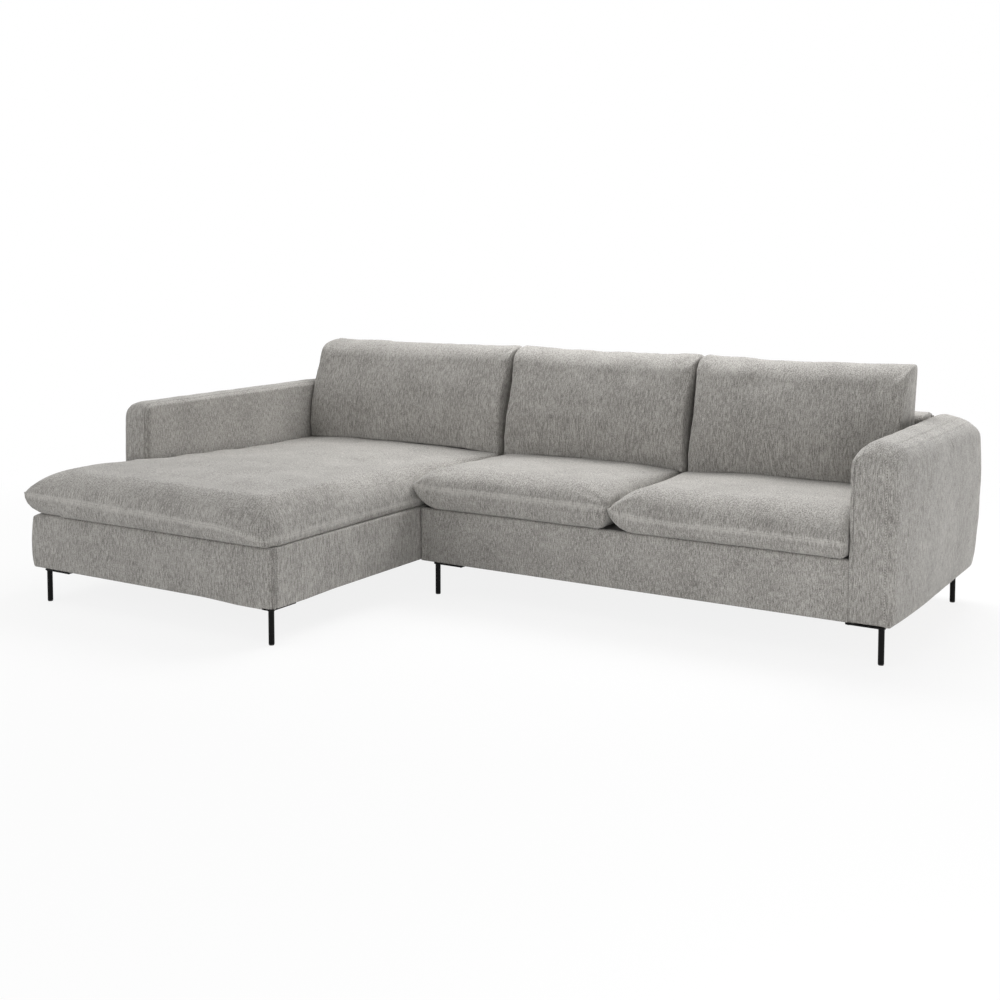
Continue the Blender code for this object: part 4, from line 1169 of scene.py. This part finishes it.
seat_crowns = (
    [seater_front, seater_front + 0.26, seater_front + 0.50, seat_rear],
    [0.475, 0.464, 0.449, 0.446],
)
left_seat = seat_cushion(
    "left_seat_cushion",
    (seater_left - NOSE_OVERLAP, seat_middle - NOSE_OVERLAP - 2 * HALF_GAP, seat_front, seat_rear),
    (0.006, 0.030),
    (
        [seater_left, seater_left + 0.14, seater_left + 0.28, seater_left + 0.45, seat_middle],
        [0.413, 0.406, 0.407, 0.408, 0.406],
    ),
    seat_crowns, [(0.115, 0.090, 0.130, 0.030)], [(0.130, 0.055, 0.038, 0.030)], 41, drawn_in=NOSE_OVERLAP,
)
right_seat = seat_cushion(
    "right_seat_cushion",
    (seat_middle - NOSE_OVERLAP, arm_inner - HALF_GAP, seat_front, seat_rear),
    (0.006, 0.030),
    (
        [seat_middle - NOSE_OVERLAP, seat_middle + 0.03, seat_middle + 0.21, seat_middle + 0.48, arm_inner],
        [0.403, 0.389, 0.374, 0.378, 0.376],
    ),
    seat_crowns, [(0.125, 0.055, 0.138, 0.030)], [(0.130, 0.024, 0.038, 0.030)], 42,
)
chaise_seat = seat_cushion(
    "chaise_seat_cushion",
    (chaise_left - 0.036, chaise_right - HALF_GAP, chaise_front - OVERHANG, seat_rear),
    (0.030, 0.085),
    (
        [
            chaise_left, chaise_left + 0.3, chaise_left + 0.72,
            chaise_left + 0.93, chaise_right - 0.06, chaise_right,
        ],
        [0.398, 0.391, 0.379, 0.375, 0.354, 0.346],
    ),
    (
        [
            chaise_front, seater_front - 0.42, seater_front,
            seater_front + 0.26, seater_front + 0.46, seat_rear,
        ],
        [0.484, 0.479, 0.461, 0.453, 0.448, 0.446],
    ),
    [(0.180, 0.130, 0.175, 0.022), (0.022, 0.115, 0.175, 0.030)],
    [(0.130, 0.014, 0.048, 0.020), (0.020, 0.014, 0.048, 0.030)],
    43, notch=(left_arm_inner + HALF_GAP, left_arm_front - HALF_GAP), rear_pull=0.0,
)


# Back cushions
# Loose fibre-filled cushions that stand on the seat and lean on the back, deepest low down. The front panel
# rolls over the top; the seam runs up both sides and along the rear of the top, with small ears at its ends.

BACK_STEP = 0.012
BACK_BLUNTS = (0.5, 0.5, 0.5, 0.5)
FRONT_LINE = ((0.0, 0.16, 0.38, 0.58, 0.79, 1.0), (-0.260, -0.258, -0.250, -0.226, -0.194, -0.168))
SIDE_SEAM_LINE = ((0.0, 0.3, 0.8, 1.0), (-0.120, -0.110, -0.092, -0.080))
FRONT_REACHES = (0.008, 0.010, 0.007, 0.062)
REAR_REACHES = (0.050, 0.050, 0.016, 0.070)
TOP_LEAN = -0.048


def back_cushion(name, left, right, top_rounds, side_pulls, seed):
    """left and right are where its sides stand, and side_pulls is how far each of them draws in."""
    bottom = BACK_REST_LEVEL + 0.0006
    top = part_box(name + "_cover")[1].z + 0.003
    rear_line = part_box("seater_back_cover")[0].y - 0.0004
    back_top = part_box("seater_back_cover")[1].z
    bm, layout = notched_net((left, bottom), (right, top), None, BACK_STEP, SEAM_LINES)
    made, (x, z, panel) = sewn_together(name, bm, layout)
    height = (z - bottom) / (top - bottom)
    lean = TOP_LEAN * np.clip((height - 0.60) / 0.40, 0.0, 1.0) ** 1.6
    seam = np.interp(height, *SIDE_SEAM_LINE)
    front_rise = sewn_rise(x, z, (left, right, bottom, top), FRONT_REACHES, BACK_BLUNTS)
    rear_rise = sewn_rise(x, z, (left, right, bottom, top), REAR_REACHES, BACK_BLUNTS)
    y = np.where(panel > 0, seam + (np.interp(height, *FRONT_LINE) - seam) * front_rise, seam)
    y = np.where(panel < 0, seam + (lean - seam) * rear_rise, y)
    points = np.stack([x, rear_line + y, z], 1)
    low, high = Vector((left, 0.0, bottom)), Vector((right, 0.0, top))
    for side_end, radius in enumerate(top_rounds):
        ease(points, low, high, (0, 2), (side_end, 1), (radius, radius))
        ease(points, low, high, (0, 2), (side_end, 0), (0.008, 0.008))
    depth = depth_in(x, z, (left, bottom), (right, top))
    across = np.clip((x - left) / (right - left), 0.0, 1.0)
    upper = np.clip((height - 0.6) / 0.4, 0.0, 1.0)
    wavy = unevenness(x, np.zeros_like(x), 0.21, seed + 3)
    points[:, 2] -= (0.006 * np.sin(math.pi * across) - 0.0030 * wavy) * upper
    waist = np.sin(math.pi * np.clip(height, 0.0, 1.0)) ** 2
    points[:, 0] += side_pulls[0] * waist * np.exp(-(x - left) / 0.05)
    points[:, 0] -= side_pulls[1] * waist * np.exp(-(right - x) / 0.05)
    points[:, 1] += 0.0030 * unevenness(x, z, 0.24, seed + 7) * (panel > 0) * front_rise
    points[:, 2] += (rest_level(x) - BACK_REST_LEVEL) * np.clip(1.0 - height * 2.0, 0.0, 1.0)
    points[:, 1] -= forward(x) * (panel > 0) * front_rise
    folds = seam_ripples(points, depth, seed, 0.0016) * (panel >= 0)
    for index, corner in enumerate(((left, bottom), (right, bottom), (left, top), (right, top))):
        folds += gather(points, corner, (0, 2), 0.050, 0.0020, 8.0, seed + 10 + index) * (panel > 0)
    push(made.data, points, folds)

    def keep_clear(moved):
        """Keeps the cloth above the seat, before the back and between its neighbours."""
        moved[:, 0] = np.clip(moved[:, 0], left, right)
        moved[:, 2] = np.maximum(moved[:, 2], rest_level(moved[:, 0]) + 0.0006)
        moved[:, 1] = np.minimum(moved[:, 1], rear_line + np.where(moved[:, 2] < back_top + 0.01, 0.0, 0.012))

    return made, panel, depth, keep_clear


chaise_back = back_cushion(
    "chaise_back_cushion", left_arm_inner + HALF_GAP, chaise_right - HALF_GAP,
    (0.034, 0.018), (0.001, 0.010), 51,
)
left_back = back_cushion(
    "left_back_cushion", seater_left + HALF_GAP, seat_middle - HALF_GAP, (0.016, 0.018), (0.010, 0.010), 52
)
right_back = back_cushion(
    "right_back_cushion", seat_middle + HALF_GAP, arm_inner - HALF_GAP, (0.018, 0.014), (0.010, 0.010), 53
)


# Stuffing
# The covers are filled a little tighter than they are cut, so the cloth swells and puckers. Air pressure in a
# cloth simulation stands for the filling: the seams are held and each point stays near where it was drawn.

FILL_PRESSURE = 4.0
FILL_STEPS = 20
SPARE_CLOTH = 0.014
MOST_SWELL = 0.016
SEAM_HOLD = 0.050
covers = (left_seat, right_seat, chaise_seat, chaise_back, left_back, right_back)


def fill(made, panel):
    held = made.vertex_groups.new(name="seam")
    held.add(np.flatnonzero(panel == 0).tolist(), 1.0, "REPLACE")
    cloth = made.modifiers.new("filling", "CLOTH")
    cloth.point_cache.frame_end = FILL_STEPS
    settings = cloth.settings
    settings.quality = 4
    settings.mass = 0.25
    settings.use_pressure = True
    settings.uniform_pressure_force = FILL_PRESSURE
    settings.tension_stiffness = settings.compression_stiffness = 18.0
    settings.shear_stiffness = 8.0
    settings.bending_stiffness = 1.5
    settings.shrink_min = -SPARE_CLOTH
    settings.vertex_group_mass = "seam"
    settings.effector_weights.gravity = 0.0


for made, panel, depth, keep_clear in covers:
    fill(made, panel)
for step in range(1, FILL_STEPS + 1):
    bpy.context.scene.frame_set(step)
settled = bpy.context.evaluated_depsgraph_get()
filled = [points_of(made.evaluated_get(settled).data) for made, panel, depth, keep_clear in covers]
for (made, panel, depth, keep_clear), swollen in zip(covers, filled):
    drawn_at = points_of(made.data)
    moved = swollen - drawn_at
    moved *= MOST_SWELL / max(MOST_SWELL, np.linalg.norm(moved, axis=1).max())
    moved *= np.clip(depth / SEAM_HOLD, 0.0, 1.0)[:, None]
    made.modifiers.remove(made.modifiers["filling"])
    set_points(made.data, drawn_at + moved)
bpy.context.scene.frame_set(1)

for made, panel, depth, keep_clear in covers:
    points = points_of(made.data)
    keep_clear(points)
    set_points(made.data, points)
    soften(made)


# Seams and zips
# Each cover's two panels are joined by a lapped seam, which stands up as a thin roll all round. Seat covers
# open with a coil zip in the rear seam and the back covers with one underneath.

SEAM_ROLL = 0.0009
ARM_SEAM_ROLL = 0.0021
SEAM_SIDES = 5
SEAM_STEP = 0.003
STITCH_PITCH = 0.009
STITCH_PULL = 0.35


def sewn_edge(mesh, panel):
    """The numbers of the points along the joined edge, in order round the cover."""
    joins = {}
    for edge in mesh.edges:
        one, two = edge.vertices
        if panel[one] == 0 and panel[two] == 0:
            joins.setdefault(one, []).append(two)
            joins.setdefault(two, []).append(one)
    ring = [min(joins)]
    ring.append(joins[ring[0]][0])
    while True:
        after = next(other for other in joins[ring[-1]] if other != ring[-2])
        if after == ring[0]:
            return ring
        ring.append(after)


def seam_roll(made, line, name, body, closed, radius, shade):
    """A thin roll of lapped cloth along a line of a cover's points, drawn in at each stitch, with painted
    highlight between stitches and painted shade at each.
    """
    softened = made.evaluated_get(bpy.context.evaluated_depsgraph_get()).data
    line = line + line[:1] * closed
    places = np.array([softened.vertices[index].co for index in line])
    facings = np.array([softened.vertices[index].normal for index in line])
    reached = np.concatenate([[0.0], np.cumsum(np.linalg.norm(np.diff(places, axis=0), axis=1))])
    stops = np.linspace(0.0, reached[-1], int(reached[-1] / SEAM_STEP), endpoint=not closed)
    path, out = (np.stack([np.interp(stops, reached, whole[:, axis]) for axis in range(3)], 1)
                 for whole in (places, facings))
    way = np.roll(path, -1, 0) - np.roll(path, 1, 0) if closed else np.gradient(path, axis=0)
    way /= np.linalg.norm(way, axis=1)[:, None]
    out -= way * (out * way).sum(1)[:, None]
    out /= np.linalg.norm(out, axis=1)[:, None]
    up = np.cross(way, out)
    stitch = 0.5 + 0.5 * np.cos(2 * math.pi * stops / STITCH_PITCH)
    bm = bmesh.new()
    rings = []
    for place, outward, upward, pull in zip(path, out, up, stitch):
        ring = []
        for step in range(SEAM_SIDES):
            angle = 2 * math.pi * step / SEAM_SIDES
            spoke = outward * math.cos(angle) + upward * math.sin(angle)
            ring.append(bm.verts.new(place + spoke * radius * (1.0 - STITCH_PULL * pull)))
        rings.append(ring)
    join_loops(bm, rings + rings[:1] * closed)
    roll = piece_of(name, bm, CHENILLE, body)
    # Painted highlight on the roll between stitches and painted shade at each stitch.
    paint_seam_light(roll.data, np.repeat(shade * (0.9 - 1.6 * stitch), SEAM_SIDES))


for made, panel, depth, keep_clear in covers:
    body = made.name.removesuffix("_sewn")
    seam_roll(made, sewn_edge(made.data, panel), f"{body}_seam", body, True, SEAM_ROLL, 0.6)
for made, line, body in arm_seams:
    seam_roll(made, line, made.name.replace("upholstery", "seam"), body, False, ARM_SEAM_ROLL, 1.8)

ZIP_LENGTH = 0.450
ZIP_TAPE = 0.024
ZIP_PITCH = 0.0030
TOOTH_STATIONS = ((-0.0026, -0.2, 0.0005), (0.0, 0.22, 0.0009), (0.0026, -0.2, 0.0005))
SLIDER_PLATES = (
    (
        (
            (-0.0050, -0.0022), (0.0030, -0.0046), (0.0052, -0.0030),
            (0.0052, 0.0030), (0.0030, 0.0046), (-0.0050, 0.0022),
        ),
        (0.30, 0.85),
    ),
    (
        (
            (0.0060, -0.0020), (0.0180, -0.0028), (0.0200, 0.0),
            (0.0180, 0.0028), (0.0060, 0.0020), (0.0040, 0.0),
        ),
        (0.86, 1.0),
    ),
)


def zip_fastener(body, centre, across, outward, height):
    """A coil zip on its woven tape, facing outward and height thick, with its slider at the left end."""
    along = Vector((1.0, 0.0, 0.0))
    tape_level = height * 0.15
    bm = bmesh.new()
    for edge in (-1, 1):
        join_rows(bm, [
            [
                bm.verts.new(centre + along * a + across * (edge * b) + outward * tape_level)
                for b in (0.0006, ZIP_TAPE / 2)
            ]
            for a in even_lines(-ZIP_LENGTH / 2, ZIP_LENGTH / 2, 0.015)
        ])
    tape = piece_of(f"{body}_zip_tape", bm, ELASTIC, body)
    thicken(tape, height * 0.2)
    bm = bmesh.new()
    for index in range(int(ZIP_LENGTH / ZIP_PITCH)):
        middle = centre + along * ((index + 0.5) * ZIP_PITCH - ZIP_LENGTH / 2) + outward * height * 0.5
        side = 1.0 if index % 2 else -1.0
        loops = []
        for b, lift, half in TOOTH_STATIONS:
            spot = middle + across * b + outward * (height * lift) + along * (side * b * 0.25)
            loops.append([
                bm.verts.new(spot + along * step + outward * rise)
                for step, rise in ((-half, 0.0), (0.0, height * 0.15), (half, 0.0), (0.0, -height * 0.15))
            ])
        join_loops(bm, loops)
        bm.faces.new(loops[0])
        bm.faces.new(loops[-1])
    piece_of(f"{body}_zip_coil", bm, GLIDE_PLASTIC, body)
    bm = bmesh.new()
    start = centre - along * (ZIP_LENGTH / 2 - 0.006)
    for outline, levels in SLIDER_PLATES:
        loops = [
            [bm.verts.new(start + along * a + across * b + outward * (height * share)) for a, b in outline]
            for share in levels
        ]
        bm.faces.new(loops[0])
        bm.faces.new(loops[1])
        join_loops(bm, loops)
    piece_of(f"{body}_zip_slider", bm, ZINC, body, smooth=False)


back_seam_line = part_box("seater_back_cover")[0].y - 0.120
for made, panel, depth, keep_clear in covers:
    body = made.name.removesuffix("_sewn")
    points = points_of(made.data)
    middle_x = (points[:, 0].min() + points[:, 0].max()) / 2
    if body.endswith("seat_cushion"):
        rear = Vector((middle_x, seat_rear + 0.0012, REAR_SEAM_LEVEL))
        zip_fastener(body, rear, Vector((0.0, 0.0, 1.0)), Vector((0.0, 1.0, 0.0)), 0.0030)
    else:
        under = Vector((middle_x, back_seam_line, BACK_REST_LEVEL + 0.0004))
        zip_fastener(body, under, Vector((0.0, 1.0, 0.0)), Vector((0.0, 0.0, -1.0)), 0.0011)


# Foam cores
# Cut foam blocks inside the covers give the cushions their spring: high-resilience foam in the seats, softer
# foam in the backs.

CORE_STEP = 0.04
CORE_LINES = (0.0, 0.0040, 0.0100)
CORE_INSET = 0.085
CORE_HOLLOW = 0.0015


def open_cells(tree, place):
    cells = add(tree, "TexVoronoi", {"Vector": place, "Scale": 700.0}).outputs["Distance"]
    return blend_of(tree, "FLOAT", 0.35, noise(tree, place, 8.0, 3.0), cells), cells


FOAM = patterned(
    "foam_white", (0.78, 0.77, 0.72), 0.92,
    ((0.84, 0.83, 0.79, 1.0), (0.72, 0.69, 0.59, 1.0)), open_cells, 0.0006,
)


def foam_core(name, notch=None):
    """A foam block with its cut edges eased and its faces a little hollow, as foam springs from the blade."""
    low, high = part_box(name + "_core")
    bm, layout = notched_net(low.xy, high.xy, notch, CORE_STEP, CORE_LINES)
    made = piece_of(name + "_foam", bm, FOAM, name)
    x, y, panel = layout.T
    depth = depth_in(x, y, low, high, notch)
    rise = fullness(depth, 0.008, 0.3)
    middle = (low.z + high.z) / 2
    z = middle + panel * (high.z - low.z) / 2 * rise - CORE_HOLLOW * panel * np.clip(depth / 0.2, 0.0, 1.0)
    set_points(made.data, np.stack([x, y, z], 1))
    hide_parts(name + "_core")


foam_core("left_seat_cushion")
foam_core("right_seat_cushion")
foam_core("chaise_back_cushion")
foam_core("left_back_cushion")
foam_core("right_back_cushion")
foam_core("chaise_seat_cushion", (left_arm_inner + CORE_INSET + 0.001, left_arm_front - CORE_INSET - 0.001))


# Room
# A plain pale floor under an even white surround. A broad soft light hangs overhead towards the rear, with
# weaker ones high and low at the left, at the front right and at the rear right.

SURROUND_LIGHT = 0.33


def seen_straight(tree):
    """1 for rays from the camera, a mirror or clear glass, which see plain white, and 0 for all others."""
    seen = add(tree, "LightPath").outputs
    direct = add(tree, "Math", {0: seen["Is Camera Ray"], 1: seen["Is Glossy Ray"]}, operation="MAXIMUM")
    through = {0: direct.outputs[0], 1: seen["Is Transmission Ray"]}
    return add(tree, "Math", through, operation="MAXIMUM").outputs[0]


pale_floor, tree, shader = finish_named("pale_floor", (0.80, 0.80, 0.80), 0.9)
place = add(tree, "TexCoord").outputs["Object"]
away = add(tree, "VectorMath", {0: place}, operation="LENGTH").outputs["Value"]
fade = {"Value": away, "From Min": 1.6, "From Max": 3.6, "To Min": 0.86, "To Max": 1.0}
pale = add(tree, "MapRange", fade).outputs[0]
share = add(tree, "Math", {0: seen_straight(tree), 1: pale}, operation="MULTIPLY").outputs[0]
glow = add(tree, "Emission", {"Color": (1.0, 1.0, 1.0, 1.0), "Strength": 1.0})
mixed = add(tree, "MixShader", {0: share, 1: shader.outputs[0], 2: glow.outputs[0]})
tree.links.new(mixed.outputs[0], tree.nodes["Material Output"].inputs["Surface"])
bm = bmesh.new()
bmesh.ops.create_grid(bm, x_segments=1, y_segments=1, size=40.0)
floor_mesh = bpy.data.meshes.new("floor")
bm.to_mesh(floor_mesh)
bm.free()
floor_mesh.materials.append(pale_floor)
floor = bpy.data.objects.new("floor", floor_mesh)
bpy.context.scene.collection.objects.link(floor)

world = bpy.data.worlds.new("white_surround")
world.use_nodes = True
bpy.context.scene.world = world
tree = world.node_tree
backdrop = tree.nodes["Background"]
backdrop.inputs["Color"].default_value = (1.0, 1.0, 1.0, 1.0)
brightness = blend_of(tree, "FLOAT", seen_straight(tree), SURROUND_LIGHT, 1.0)
tree.links.new(brightness, backdrop.inputs["Strength"])


def soft_light(name, place, aim, size, power):
    light = bpy.data.lights.new(name, "AREA")
    light.shape = "RECTANGLE"
    light.size, light.size_y = size
    light.energy = power
    lamp = bpy.data.objects.new(name, light)
    lamp.location = place
    lamp.rotation_euler = (Vector(aim) - Vector(place)).to_track_quat("-Z", "Y").to_euler()
    bpy.context.scene.collection.objects.link(lamp)


soft_light("overhead_light", (0.3, 1.8, 3.3), (1.2, 0.2, 0.3), (3.2, 1.8), 154.0)
soft_light("high_left_light", (-2.2, -1.2, 3.0), (-0.8, 0.2, 0.5), (1.6, 1.2), 15.0)
soft_light("left_light", (-2.6, -4.0, 1.8), (-0.2, 0.0, 0.5), (2.4, 2.0), 43.0)
soft_light("right_front_light", (2.7, -2.6, 0.7), (1.2, 0.0, 0.35), (1.2, 0.8), 24.0)
soft_light("right_light", (4.6, 2.2, 0.9), (1.8, 0.5, 0.4), (2.0, 1.0), 45.0)
